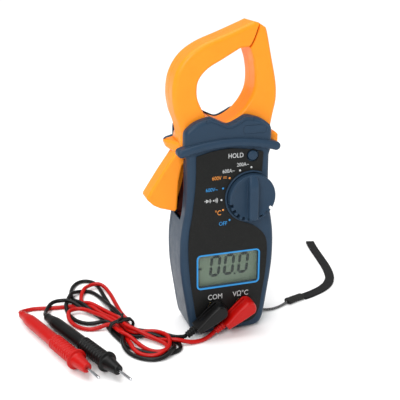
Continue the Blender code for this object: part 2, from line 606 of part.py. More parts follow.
HANK += [(-47.5, -42.1), (-40, -38.6), (-35.6, -33.1), (-35.8, -26.5), (-38.9, -18), (-43.9, -7.9), (-50.5, 0.1)]
HANK_TOP = 9.0
STRAP_CORD = [(26.1, 1.6, 6.4), (28.4, 1.2, 3.8), (32, 0.6, 1.6), (39.2, 0.6, 1.1), (46, 2.8, 1.1), (51.2, 5.5, 1.5)]
STRAP_SLEEVE = [(51.9, 5.8), (58, 8), (65.4, 10.3)]
STRAP_BAND = [(66, 10.6), (73.7, 13), (84.6, 18.1), (93.1, 25), (99.5, 35), (104.2, 49.4), (107.8, 67.5)]
STRAP_BAND += [(111.3, 86.8), (114.6, 100.8)]


def make_lead(colour, side, probe, exit_route, probe_route):
    look = f"lead_{colour}"
    outline = [(-6, -4.6), (3.5, -4.6), (15, -2.8), (16.5, -2.8), (16.5, 2.8), (15, 2.8), (3.5, 4.6), (-6, 4.6)]
    turn = Matrix.Rotation(math.pi + PLUG_FALL, 2)
    placed = [tuple(Vector((side * JACK_X, JACK_Z)) + turn @ Vector(point)) for point in outline]
    plug = rounded(slab(f"{colour}_plug", [placed], -29, PANEL_FRONT_Y - 0.4, look), 2, ["near"])
    fall = Vector((-math.cos(PLUG_FALL), 0, -math.sin(PLUG_FALL)))
    relief_base = Vector((side * JACK_X, PLUG_Y, JACK_Z)) + fall * 14
    relief = turned(f"{colour}_relief", [(0, 0), (0, 2.6), (9.6, 2.3), (9.6, 0)], look, relief_base, fall, 12)
    join(plug, relief)
    rod(f"{colour}_plug_pin", (side * JACK_X, JACK_Z), PANEL_FRONT_Y, -5, PIN_RADIUS, "brass", 16)
    wire(f"{colour}_plug_lead", smooth(exit_route, 2), LEAD_RADIUS, look)
    wire(f"{colour}_probe_lead", smooth(probe_route, 2), LEAD_RADIUS, look)
    rear, tip = (Vector(end) for end in probe)
    along = (tip - rear).normalized()
    length = (tip - rear).length
    nose = 0.86 * length
    handle = [(0, 0), (0, 2.5), (4, 2.7), (12, 3.9), (46, 4.1), (50, 4.9), (72, 4.9), (73.5, 4.6), (73.5, 6.2)]
    handle += [(75.3, 6.2), (76.3, 4.4), (nose, 2.8), (nose, 0)]
    turned(f"{colour}_probe_handle", handle, look, rear, along, 16)
    tip_profile = [(nose + GAP, 0), (nose + GAP, 0.9), (length - 2, 0.9), (length, 0)]
    turned(f"{colour}_probe_tip", tip_profile, "steel", rear, along, 10)


def make_leads():
    make_lead("red", 1, RED_PROBE, RED_EXIT, RED_RUN)
    make_lead("black", -1, BLACK_PROBE, BLACK_EXIT, BLACK_RUN)
    hank = slab("lead_hank", [smooth(HANK, 1, closed=True)], 0.2, HANK_TOP, "lead_black", flat=True)
    rounded(hank, 2, ["near", "far"])
    tie = [(-72.2, -6.1), (-72, -5), (-71.6, -3.8), (-55, 5.4), (-54.8, 6.6), (-54.6, 7.8)]
    heights = [1.2, 6, 10.2, 10.2, 6, 1.2]
    wire("lead_tie", [(x, y, z) for (x, y), z in zip(tie, heights)], 0.8, "rubber_black")


def make_strap():
    wire("strap_cord", smooth(STRAP_CORD, 2), 0.9, "strap_fabric")
    rounded(slab("strap_sleeve", [band(STRAP_SLEEVE, 3)], 0.1, 3.8, "rubber_black", flat=True), 0.8, ["far"])
    line = smooth(STRAP_BAND, 2)
    slab("strap_band", [band(line, STRAP_HALF_WIDTH)], 0.1, 1.9, "strap_fabric", flat=True)


start()
make_front_case()
make_rear_case()
make_front_controls()
make_board()
make_power()
make_jaws()
make_leads()
make_strap()
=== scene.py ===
import json
import math

import bmesh
import bpy
import numpy as np
from mathutils import Matrix, Vector


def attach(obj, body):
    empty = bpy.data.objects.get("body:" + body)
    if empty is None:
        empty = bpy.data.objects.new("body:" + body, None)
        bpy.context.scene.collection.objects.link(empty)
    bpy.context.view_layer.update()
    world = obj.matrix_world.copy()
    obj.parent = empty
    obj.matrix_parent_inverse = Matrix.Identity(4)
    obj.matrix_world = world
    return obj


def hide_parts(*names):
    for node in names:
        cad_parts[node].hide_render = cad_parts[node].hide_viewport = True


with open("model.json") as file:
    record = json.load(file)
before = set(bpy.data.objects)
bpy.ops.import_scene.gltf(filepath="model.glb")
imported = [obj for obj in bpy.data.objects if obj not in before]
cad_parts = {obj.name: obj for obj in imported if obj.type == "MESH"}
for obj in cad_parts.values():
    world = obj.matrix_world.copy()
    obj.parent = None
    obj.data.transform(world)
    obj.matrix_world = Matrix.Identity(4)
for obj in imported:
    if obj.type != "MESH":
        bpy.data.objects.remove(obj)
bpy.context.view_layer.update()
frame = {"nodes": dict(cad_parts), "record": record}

# Looks of a clamp meter with two test leads and a wrist strap. Lengths are millimetres
# unless a name says otherwise: X to the right seen from the front, Y to the back, Z up.
MM = 0.001
SLOTS = {row["node"]: row["material_slot"] for row in frame["record"]["subparts"]}

# ---------------------------------------------------------------- camera

AZIMUTH, ELEVATION = 17.6, 19.6
LENS, SENSOR = 66.78, 36
CAMERA_PLACE = (-0.14549, -0.41661, 0.24142)  # metres

camera_data = bpy.data.cameras.new("camera")
camera_data.lens = LENS
camera_data.sensor_width = SENSOR
camera = bpy.data.objects.new("camera", camera_data)
camera.location = CAMERA_PLACE
camera.rotation_euler = (math.radians(90 - ELEVATION), 0, math.radians(-AZIMUTH))
bpy.context.scene.collection.objects.link(camera)
bpy.context.scene.camera = camera

# ---------------------------------------------------------------- outlines


def arc(centre, radius, start, end, steps):
    """Points of an arc, in degrees counterclockwise seen from the front."""
    angles = np.radians(np.linspace(start, end, steps + 1))
    return [(centre[0] + radius * math.cos(a), centre[1] + radius * math.sin(a)) for a in angles]


def smooth(knots, steps=6, closed=False):
    """Points of a Catmull-Rom curve through the knots."""
    knots = np.array(knots, float)
    count = len(knots)
    points = []
    for i in range(count if closed else count - 1):
        if closed:
            a, b, c, d = (knots[(i + k) % count] for k in (-1, 0, 1, 2))
        else:
            b, c = knots[i], knots[i + 1]
            a = knots[i - 1] if i else 2 * b - c
            d = knots[i + 2] if i + 2 < count else 2 * c - b
        for t in np.arange(steps) / steps:
            bend = (2 * a - 5 * b + 4 * c - d) * t**2 + (3 * b - a - 3 * c + d) * t**3
            points.append(tuple(0.5 * (2 * b + (c - a) * t + bend)))
    if not closed:
        points.append(tuple(knots[-1]))
    return points


def resampled(points, step):
    """Points about a step apart along a line."""
    points = np.array(points, float)
    along = np.concatenate([[0], np.cumsum(np.linalg.norm(np.diff(points, axis=0), axis=1))])
    places = np.linspace(0, along[-1], max(2, round(along[-1] / step)) + 1)
    return np.stack([np.interp(places, along, points[:, k]) for k in range(points.shape[1])], axis=1)


def mirrored(points):
    return [(-x, z) for x, z in points]


def offset(outline, distances):
    """A counterclockwise outline whose edges move inwards, each by its own distance."""
    points = np.array(outline, float)
    distances = np.broadcast_to(np.asarray(distances, float), (len(points),))
    edges = np.roll(points, -1, axis=0) - points
    edges /= np.maximum(np.linalg.norm(edges, axis=1, keepdims=True), 1e-9)
    inward = np.stack([-edges[:, 1], edges[:, 0]], axis=1)
    moved = points.copy()
    for i in range(len(points)):
        before, after, near, far = inward[i - 1], inward[i], distances[i - 1], distances[i]
        if abs(before[0] * after[1] - before[1] * after[0]) < 0.3:
            middle = before + after
            middle /= np.linalg.norm(middle)
            moved[i] += middle * (near + far) / 2 / middle.dot(before)
        else:
            moved[i] += np.linalg.solve(np.array([before, after]), [near, far])
    return moved


def rounded_rectangle(low, high, radius, steps=6):
    points = []
    for x, z, start in (
        (high[0] - radius, low[1] + radius, -90),
        (high[0] - radius, high[1] - radius, 0),
        (low[0] + radius, high[1] - radius, 90),
        (low[0] + radius, low[1] + radius, 180),
    ):
        points += arc((x, z), radius, start, start + 90, steps)
    return points


def filleted(profile, radius, steps=2):
    """A profile with its inner corners rounded."""
    points = [np.array(point, float) for point in profile]
    out = [points[0]]
    for before, corner, after in zip(points, points[1:], points[2:]):
        back, ahead = before - corner, after - corner
        reach = min(radius, np.linalg.norm(back) * 0.45, np.linalg.norm(ahead) * 0.45)
        first = corner + back / np.linalg.norm(back) * reach
        last = corner + ahead / np.linalg.norm(ahead) * reach
        for t in np.linspace(0, 1, steps + 1):
            out.append((1 - t) ** 2 * first + 2 * t * (1 - t) * corner + t**2 * last)
    out.append(points[-1])
    return [tuple(point) for point in out]


# ---------------------------------------------------------------- shapes

MERGE_DISTANCE = 1e-6  # metres
BOX_FACES = [(0, 1, 3, 2), (4, 6, 7, 5), (0, 4, 5, 1), (2, 3, 7, 6), (0, 2, 6, 4), (1, 5, 7, 3)]
UPRIGHT = Matrix.Rotation(math.radians(90), 4, "X")


def linked(name, data):
    item = bpy.data.objects.new(name, data)
    bpy.context.scene.collection.objects.link(item)
    return item


def cleaned(name, mesh):
    """An object from a mesh, with double points merged and its normals facing out."""
    shape = bmesh.new()
    shape.from_mesh(mesh)
    bmesh.ops.remove_doubles(shape, verts=shape.verts, dist=MERGE_DISTANCE)
    bmesh.ops.recalc_face_normals(shape, faces=shape.faces)
    shape.to_mesh(mesh)
    shape.free()
    return linked(name, mesh)


def raw(name, vertices, faces):
    """An object from vertices in millimetres."""
    mesh = bpy.data.meshes.new(name)
    mesh.from_pydata([tuple(float(value) * MM for value in vertex) for vertex in vertices], [], faces)
    return cleaned(name, mesh)


def tube_faces(rings, count):
    """Quads between rings of points, and a cap at each end."""
    faces = []
    for ring in range(rings - 1):
        for i in range(count):
            a, b = ring * count + i, ring * count + (i + 1) % count
            faces.append((a, b, b + count, a + count))
    faces += [tuple(range(count))[::-1], tuple(range((rings - 1) * count, rings * count))]
    return faces


def rim(near, far, near_round=0.0, far_round=0.0, steps=6):
    """(Y, inset) pairs of a side wall with quarter-round rims."""
    rows = []
    for base, radius, sign in ((near, near_round, 1), (far, far_round, -1)):
        angles = np.linspace(0, math.pi / 2, steps + 1) if radius else [math.pi / 2]
        part = [(base + sign * radius * (1 - math.cos(a)), radius * (1 - math.sin(a))) for a in angles]
        rows += part if sign > 0 else part[::-1]
    if not near_round and not far_round:
        rows = [(near, 0.0), (far, 0.0)]
    return rows


def prism(name, outline, rows, weights=1.0, facet=None):
    """An outline carried along Y. Rows are (Y, inset) or (Y, inset, facet inset)."""
    vertices = []
    for row in rows:
        distances = row[1] * np.asarray(weights, float)
        if facet is not None:
            distances = distances + row[2] * facet
        vertices += [(x, row[0], z) for x, z in offset(outline, distances)]
    return raw(name, vertices, tube_faces(len(rows), len(outline)))


def block(name, low, high):
    corners = [(x, y, z) for x in (low[0], high[0]) for y in (low[1], high[1]) for z in (low[2], high[2])]
    return raw(name, corners, BOX_FACES)


def lathe(name, profile, base, along=(0, 1, 0), steps=64):
    """A turned piece from (distance, radius) pairs; both ends are closed by a flat or pointed end."""
    aim = np.array(Vector(along).to_track_quat("Z", "X").to_matrix())
    angles = np.linspace(0, math.tau, steps, endpoint=False)
    vertices = []
    for distance, radius in profile:
        radius = max(radius, 1e-4)
        ring = np.stack([radius * np.cos(angles), radius * np.sin(angles), np.full(steps, distance)], axis=1)
        vertices += list(ring @ aim.T + np.array(base))
    return raw(name, vertices, tube_faces(len(profile), steps))


def rod(name, centre, near, far, radius, steps=48):
    return lathe(name, [(0, radius), (far - near, radius)], (centre[0], near, centre[1]), steps=steps)


def plate(name, outlines, near, far):
    """Outlines with holes, extruded from Y near to Y far."""
    curve = bpy.data.curves.new(name, "CURVE")
    curve.dimensions = "2D"
    curve.fill_mode = "BOTH"
    curve.extrude = (far - near) / 2 * MM
    for outline in outlines:
        spline = curve.splines.new("POLY")
        spline.points.add(len(outline) - 1)
        for point, (a, b) in zip(spline.points, outline):
            point.co = (a * MM, b * MM, 0, 1)
        spline.use_cyclic_u = True
    place = Matrix.Translation((0, (near + far) / 2 * MM, 0)) @ UPRIGHT
    return from_curve(name, curve, place)


def evaluated_mesh(item):
    bpy.context.view_layer.update()
    return bpy.data.meshes.new_from_object(item.evaluated_get(bpy.context.evaluated_depsgraph_get()))


def from_curve(name, curve, place):
    guide = linked(name + "_guide", curve)
    mesh = evaluated_mesh(guide)
    bpy.data.objects.remove(guide)
    mesh.transform(place)
    return cleaned(name, mesh)


def applied(item):
    """Puts a piece's modifiers into its mesh."""
    mesh = evaluated_mesh(item)
    item.modifiers.clear()
    item.data = mesh
    return item


def carve(item, operation, *others):
    """Applies Booleans with other objects, which are then removed."""
    for other in others:
        change = item.modifiers.new(other.name, "BOOLEAN")
        change.operation = operation
        change.object = other
    applied(item)
    for other in others:
        bpy.data.objects.remove(other)


def bevelled(item, width, segments, angle):
    """Rounds a piece's edges that are sharper than an angle in degrees."""
    bevel = item.modifiers.new("edges", "BEVEL")
    bevel.width = width * MM
    bevel.segments = segments
    bevel.angle_limit = math.radians(angle)
    return applied(item)


def together(name, items):
    """One object from several."""
    shape = bmesh.new()
    for item in items:
        item.data.transform(item.matrix_world)
        shape.from_mesh(item.data)
        bpy.data.objects.remove(item)
    mesh = bpy.data.meshes.new(name)
    shape.to_mesh(mesh)
    shape.free()
    return linked(name, mesh)


def cable(name, points, radius, resolution=5):
    curve = bpy.data.curves.new(name, "CURVE")
    curve.dimensions = "3D"
    curve.bevel_depth = radius * MM
    curve.bevel_resolution = resolution
    curve.use_fill_caps = True
    spline = curve.splines.new("POLY")
    spline.points.add(len(points) - 1)
    for point, place in zip(spline.points, points):
        point.co = (*(float(value) * MM for value in place), 1)
    return linked(name, curve)


def sweep(name, path, sections):
    """A closed section, one (side, up) list per path point, carried along a level path.

    Its UV map is in metres, along and across."""
    path = np.array(path, float)
    ahead = np.gradient(path, axis=0)
    side = np.stack([ahead[:, 1], -ahead[:, 0], np.zeros(len(path))], axis=1)
    side /= np.linalg.norm(side, axis=1, keepdims=True)
    vertices = []
    for point, across, section in zip(path, side, sections):
        vertices += [point + across * a + np.array((0, 0, 1)) * b for a, b in section]
    count = len(sections[0])
    item = raw(name, vertices, tube_faces(len(path), count))
    along = np.concatenate([[0], np.cumsum(np.linalg.norm(np.diff(path, axis=0), axis=1))])
    layer = item.data.uv_layers.new(name="UVMap")
    for polygon in item.data.polygons:
        for corner in polygon.loop_indices:
            place = np.array(item.data.vertices[item.data.loops[corner].vertex_index].co) / MM
            k = int(np.argmin(((path - place) ** 2).sum(axis=1)))
            layer.data[corner].uv = (along[k] * MM, float((place - path[k]).dot(side[k])) * MM)
    return item


# ---------------------------------------------------------------- materials


def linear(colour):
    """Linear light from 0-255 sRGB."""
    return tuple(((c / 255 + 0.055) / 1.055) ** 2.4 if c > 10.31 else c / 255 / 12.92 for c in colour)


def node(tree, kind, inputs=None, **settings):
    made = tree.nodes.new("ShaderNode" + kind)
    for key, value in settings.items():
        setattr(made, key, value)
    for key, value in (inputs or {}).items():
        if isinstance(value, bpy.types.NodeSocket):
            tree.links.new(value, made.inputs[key])
        else:
            made.inputs[key].default_value = value
    return made


def mixed(tree, factor, first, second):
    """The colour mix of two colours or sockets."""
    mix = node(tree, "Mix", data_type="RGBA")
    for index, value in ((0, factor), (6, first), (7, second)):
        if isinstance(value, bpy.types.NodeSocket):
            tree.links.new(value, mix.inputs[index])
        else:
            mix.inputs[index].default_value = value
    return mix.outputs[2]


def ramp(tree, value, low, high, start, end):
    """A value between start and end, spread from low to high."""
    inputs = {"Value": value, "From Min": start, "From Max": end, "To Min": low, "To Max": high}
    return node(tree, "MapRange", inputs).outputs[0]


GLOSS_SPREAD = 0.06
BUMP_DEPTH = 0.0002  # metres


def noise(tree, place, scale, detail, roughness=0.5):
    inputs = {"Vector": place, "Scale": scale, "Detail": detail, "Roughness": roughness}
    return node(tree, "TexNoise", inputs).outputs[0]


def waves(tree, place, scale, distortion, detail=2, axis="X"):
    inputs = {"Vector": place, "Scale": scale, "Distortion": distortion, "Detail": detail}
    return node(tree, "TexWave", inputs, bands_direction=axis).outputs[1]


def finish_of(name, colour, roughness, *, metallic=0.0, vary=0.06, grain=3500, bump=0.06, edge_wear_and_highlight=0.25,
              edge=0.35, specular=0.5, speckle=0.0, weave=0.0, stripe_and_glint=0.0, alpha=1.0, dust=0.0):
    """A moulded, turned or woven surface: patchy colour, fine grain, uneven gloss and paler edges, part
    rubbed wear and part painted highlight.
    """
    material = bpy.data.materials.new(name)
    material.use_nodes = True
    tree = material.node_tree
    shader = tree.nodes["Principled BSDF"]
    colour = (*linear(colour), 1)
    place = node(tree, "TexCoord").outputs["Object"]
    patches = noise(tree, place, 55, 4, 0.6)
    fine = noise(tree, place, grain, 3, 0.55)
    smudge = noise(tree, place, 190, 5, 0.65)

    def paler(amount):
        return tuple(c + amount for c in colour[:3]) + (1,)

    dark = tuple(c * (1 - vary) for c in colour[:3]) + (1,)
    light = tuple(min(1, c * (1 + vary)) for c in colour[:3]) + (1,)
    base = mixed(tree, ramp(tree, patches, 0, 1, 0.35, 0.65), dark, light)
    if speckle:
        dots = noise(tree, place, 1500, 2)
        base = mixed(tree, ramp(tree, dots, 0, 1, 0.56, 0.74), base, paler(speckle))
    # Paler bands: winding stripes on the coil, and painted glints of a twisted cord on the strap cord.
    if stripe_and_glint:
        bands = waves(tree, place, 260, 3.0)
        base = mixed(tree, ramp(tree, bands, 0, 1, 0.5, 0.75), base, paler(stripe_and_glint))
    if dust:
        base = mixed(tree, ramp(tree, smudge, 0, 0.8, 0.5, 0.8), base, paler(dust))
    height = fine
    if weave:
        uv = node(tree, "TexCoord").outputs["UV"]
        warp, weft = waves(tree, uv, 320, 0.6), waves(tree, uv, 420, 0.6, axis="Y")
        height = node(tree, "Math", {0: warp, 1: weft}, operation="MULTIPLY").outputs[0]
        base = mixed(tree, ramp(tree, height, 0, 1, 0.2, 0.8), base, paler(weave))
    true_normal = node(tree, "NewGeometry").outputs["Normal"]
    softened = node(tree, "Bevel", {"Radius": edge * MM}, samples=4).outputs[0] if edge_wear_and_highlight else true_normal
    # Edges are painted paler: part rubbed wear, part a painted highlight along rims and ridges.
    if edge_wear_and_highlight:
        facing = node(tree, "VectorMath", {0: softened, 1: true_normal}, operation="DOT_PRODUCT")
        worn_and_highlit = tuple(min(1, c * (1 + edge_wear_and_highlight) + 0.015) for c in colour[:3]) + (1,)
        base = mixed(tree, ramp(tree, facing.outputs["Value"], 0.8, 0, 0.82, 0.985), base, worn_and_highlit)
    tree.links.new(base, shader.inputs["Base Color"])
    gloss = ramp(tree, smudge, max(0.02, roughness - GLOSS_SPREAD), roughness + GLOSS_SPREAD, 0.3, 0.7)
    tree.links.new(gloss, shader.inputs["Roughness"])
    surface = {"Strength": bump, "Distance": BUMP_DEPTH, "Height": height, "Normal": softened}
    tree.links.new(node(tree, "Bump", surface).outputs[0], shader.inputs["Normal"])
    shader.inputs["Metallic"].default_value = metallic
    shader.inputs["Specular IOR Level"].default_value = specular
    shader.inputs["Alpha"].default_value = alpha
    return material


LOOKS = {
    "case_plastic": finish_of("navy_plastic", (41, 60, 79), 0.36, bump=0.10, edge_wear_and_highlight=0.35, vary=0.05,
                              specular=0.14),
    "jaw_plastic": finish_of("orange_plastic", (250, 147, 34), 0.34, bump=0.07, vary=0.03, edge_wear_and_highlight=0.14,
                             edge=0.5, specular=0.18),
    # The film's strong paler edges are mostly a painted highlight along its rims.
    "panel_black": finish_of("panel_film", (15, 16, 15), 0.5, bump=0.16, grain=2600, speckle=0.008, edge_wear_and_highlight=0.9,
                             specular=0.2),
    "display_glass": finish_of("display_cell", (106, 124, 104), 0.3, bump=0.0, vary=0.03, edge_wear_and_highlight=0,
                               specular=0.3),
    "clear_lens": finish_of("display_window", (120, 130, 125), 0.08, bump=0.0, vary=0.02, edge_wear_and_highlight=0, alpha=0.08),
    "rubber_black": finish_of("black_rubber", (26, 26, 25), 0.55, bump=0.18, grain=2200, dust=0.006,
                              specular=0.25),
    "lead_red": finish_of("red_pvc", (180, 10, 5), 0.38, bump=0.06, vary=0.05, edge_wear_and_highlight=0.12, specular=0.25),
    "lead_black": finish_of("black_pvc", (11, 11, 11), 0.36, bump=0.08, vary=0.08, edge_wear_and_highlight=0.5, specular=0.22),
    "steel": finish_of("plated_steel", (196, 198, 202), 0.22, metallic=1.0, bump=0.05, edge_wear_and_highlight=0.1),
    "core_steel": finish_of("core_steel", (120, 121, 124), 0.45, metallic=1.0, bump=0.1, edge_wear_and_highlight=0.1),
    "brass": finish_of("brass", (206, 176, 110), 0.28, metallic=1.0, bump=0.05, edge_wear_and_highlight=0.15),
    "copper_coil": finish_of("copper_coil", (190, 112, 62), 0.4, metallic=1.0, bump=0.1, stripe_and_glint=0.1),
    "board_green": finish_of("board_lacquer", (30, 92, 48), 0.45, bump=0.1, speckle=0.03),
    "cell_wrap": finish_of("cell_wrap", (150, 152, 156), 0.3, metallic=0.3, bump=0.03),
    "strap_fabric": finish_of("strap_webbing", (22, 22, 23), 0.8, bump=0.7, weave=0.02, edge_wear_and_highlight=0.3, vary=0.1,
                              specular=0.2),
}
# The strap cord's paler bands are its twist painted as the glints it catches, a painted highlight.
STRAP_CORD_GLINT_LOOK = finish_of("strap_cord", (26, 26, 28), 0.7, bump=0.4, grain=1800, stripe_and_glint=0.22, specular=0.2)
# Painted orange bounce light in shade: the navy pocket walls are given the trigger's reflected reddish-brown.
POCKET_BOUNCE_LOOK = finish_of("pocket_painted_bounce", (92, 46, 40), 0.5, bump=0.1, edge_wear_and_highlight=0, specular=0.2)
LEGEND_LOOKS = {
    "white": finish_of("legend_white", (196, 198, 198), 0.5, bump=0.0, edge_wear_and_highlight=0, vary=0.08),
    "blue": finish_of("legend_blue", (48, 140, 205), 0.45, bump=0.0, edge_wear_and_highlight=0, vary=0.05, specular=0.2),
    "orange": finish_of("legend_orange", (226, 140, 46), 0.5, bump=0.0, edge_wear_and_highlight=0, vary=0.06),
    "segment": finish_of("display_segment", (30, 38, 38), 0.4, bump=0.0, edge_wear_and_highlight=0, vary=0.08, specular=0.2),
}


def dress(item, slot, body, *nodes, look=None, sharp=32):
    """Gives a piece its finish, shading and body, and hides the CAD nodes it stands for."""
    item.data.materials.clear()
    item.data.materials.append(look or LOOKS[slot])
    if item.type == "MESH":
        item.data.polygons.foreach_set("use_smooth", [True] * len(item.data.polygons))
        item.data.set_sharp_from_angle(angle=math.radians(sharp))
        weighted = item.modifiers.new("weighted normals", "WEIGHTED_NORMAL")
        weighted.keep_sharp = True
    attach(item, body)
    if nodes:
        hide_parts(*nodes)
    return item


for name, item in frame["nodes"].items():
    for place in item.material_slots:
        place.material = LOOKS[SLOTS[name]]

# ---------------------------------------------------------------- leads

LEAD_RADIUS = 1.35
TIE_MIDDLE = np.array((-65.5, 3.0))
TIE_AXIS, TIE_SIDE = np.array((0.22, -0.975)), np.array((0.975, 0.22))
RED_PROBE = ((-125.4, 36.8, 4.9), (-90.7, -59.3, 8.0))
BLACK_PROBE = ((-110.1, 28.3, 4.9), (-73.8, -66.6, 8.0))


def through_tie(side, height, up):
    """Three points of a strand where the tie holds it."""
    points = []
    for along in (5, 0, -5) if up else (-5, 0, 5):
        x, y = TIE_MIDDLE + TIE_SIDE * side + TIE_AXIS * along
        points.append((x, y, height))
    return points


RED_ROUTE = [
    (-10.3, -21.4, 4.1), (-12.3, -22.4, 2.9), (-15.4, -23.7, 1.9), (-20.5, -25.6, 1.4),
    (-27.5, -26.4, 1.4), (-34.5, -24.3, 1.4), (-42, -19.5, 1.4), (-49, -12.5, 1.4), (-56, -6, 2),
    *through_tie(4.2, 3.8, True),
    (-60.9, 13, 3), (-61.7, 25.3, 2.5), (-62.2, 41.1, 2), (-63, 57, 3), (-66, 67.6, 4), (-72, 70.4, 4),
    (-79.5, 65.3, 4), (-84, 54.5, 4), (-83.6, 45.5, 4), (-80.2, 36.5, 4), (-74.1, 25.5, 4),
    (-69.4, 15, 5),
    *through_tie(1.4, 3.8, False),
    (-61.4, -6.6, 5.5), (-56.6, -9.2, 4), (-50.8, -8.4, 3), (-45.2, -11, 2.8), (-41.6, -18, 4),
    (-41.4, -26, 4), (-44.5, -32, 3.5), (-50.7, -36.4, 3), (-58, -35, 3), (-63.6, -28.7, 3),
    (-65.6, -18.7, 3), (-65.2, -8, 3.5),
    *through_tie(-1.4, 3.8, True),
    (-69.5, 13, 4), (-76, 24, 4.2), (-81.5, 33, 4.4), (-87.6, 37.6, 4), (-93.8, 35, 3.5), (-95.8, 27, 3),
    (-93.6, 18.4, 2.7), (-89, 11.6, 2.5), (-82.3, 8.6, 2.5), (-76, 9.2, 3), (-71.5, 8.6, 3.5),
    *through_tie(-4.2, 3.8, False),
    (-66.5, -6.5, 3), (-62, -13.5, 3), (-58.5, -21, 3), (-54.5, -28, 3), (-49.5, -32.6, 3),
    (-43.6, -31.8, 3), (-41.9, -26.6, 3), (-45.4, -20.2, 3), (-51.5, -13.4, 3), (-58.5, -7.4, 3.4),
    *through_tie(0, 6.2, True),
    (-66.5, 12.5, 5), (-70.5, 22, 5), (-76.5, 34, 5.5), (-84.5, 43.5, 5), (-92.2, 44.5, 4),
    (-100, 45.2, 3), (-107, 46.6, 1.6), (-113.5, 48.4, 1.4), (-119.2, 49.2, 1.4), (-123.6, 47.8, 2.0),
    (-126.2, 44.8, 3.2), (-126.7, 40.8, 4.5), (-125.4, 36.8, 4.9),
]
BLACK_ROUTE = [
    (-29.3, -21.4, 4.1), (-31.2, -20.4, 3), (-33.9, -18.2, 1.9), (-37.2, -14.7, 1.4), (-40.6, -11.8, 1.4),
    (-44.6, -8.2, 1.4), (-50.5, -4.8, 1.4), (-57, -2.2, 1.4),
    *through_tie(5.6, 1.4, True),
    (-61.5, 11, 1.4), (-64.6, 19, 1.4), (-67.3, 36.8, 1.4), (-68.2, 57.4, 1.4), (-69.4, 72.5, 1.4),
    (-73, 80, 1.4), (-79.4, 82.2, 1.4), (-85.2, 77, 1.4), (-88.8, 68, 1.4), (-90.1, 57, 1.6),
    (-87.5, 46, 3), (-80.5, 33, 3), (-74, 20, 2.5), (-72, 12, 1.5),
    *through_tie(-5.6, 1.4, False),
    (-67.8, -7, 1.4), (-66.4, -15.2, 1.4), (-62.5, -22.9, 1.4), (-56.8, -29, 1.4), (-49.4, -32.9, 1.4),
    (-42.4, -34.4, 1.4), (-36.6, -32.6, 1.6), (-34.8, -27, 1.6), (-38.6, -20, 2), (-46.2, -12.6, 2),
    (-54.4, -6.6, 2),
    *through_tie(2.8, 1.4, True),
    (-62.6, 12, 1.6), (-63.8, 20, 2), (-67, 34.8, 3.5), (-70.2, 51.8, 3), (-75.6, 63.4, 3),
    (-82, 65.6, 3), (-89.3, 60, 3), (-94.4, 50, 2), (-96.2, 41, 1.5), (-95.3, 31.5, 1.4),
    (-91.6, 22.5, 1.4), (-84.2, 16.6, 1.4), (-76, 14.8, 1.4), (-71, 11.5, 1.4),
    *through_tie(-2.8, 1.4, False),
    (-66, -6.5, 1.6), (-68.2, -14, 1.6), (-67.6, -24, 1.4), (-63, -32.4, 1.4), (-55, -38, 1.4),
    (-48, -38.6, 1.4), (-41.9, -34.8, 1.6), (-38.8, -28, 2.6), (-41.5, -18, 2.6), (-48.6, -11.4, 2.6),
    (-55.4, -9, 2.4), (-61.4, -6.4, 2),
    *through_tie(0, 1.4, True),
    (-66.5, 12, 1.6), (-71.5, 24, 2), (-79.5, 36, 2), (-88, 44.5, 2.5), (-93, 48.5, 2.5),
    (-98.5, 51.2, 3.2), (-103.2, 50, 4.6), (-107, 45.4, 4.7), (-109.6, 39, 4), (-111.2, 33.4, 4.5),
    (-110.1, 28.3, 4.9),
]


STRAND_CLEARANCE, HIGHEST_STRAND = 0.05, 9.5
LAST_RUN = 45  # points, about 54 mm


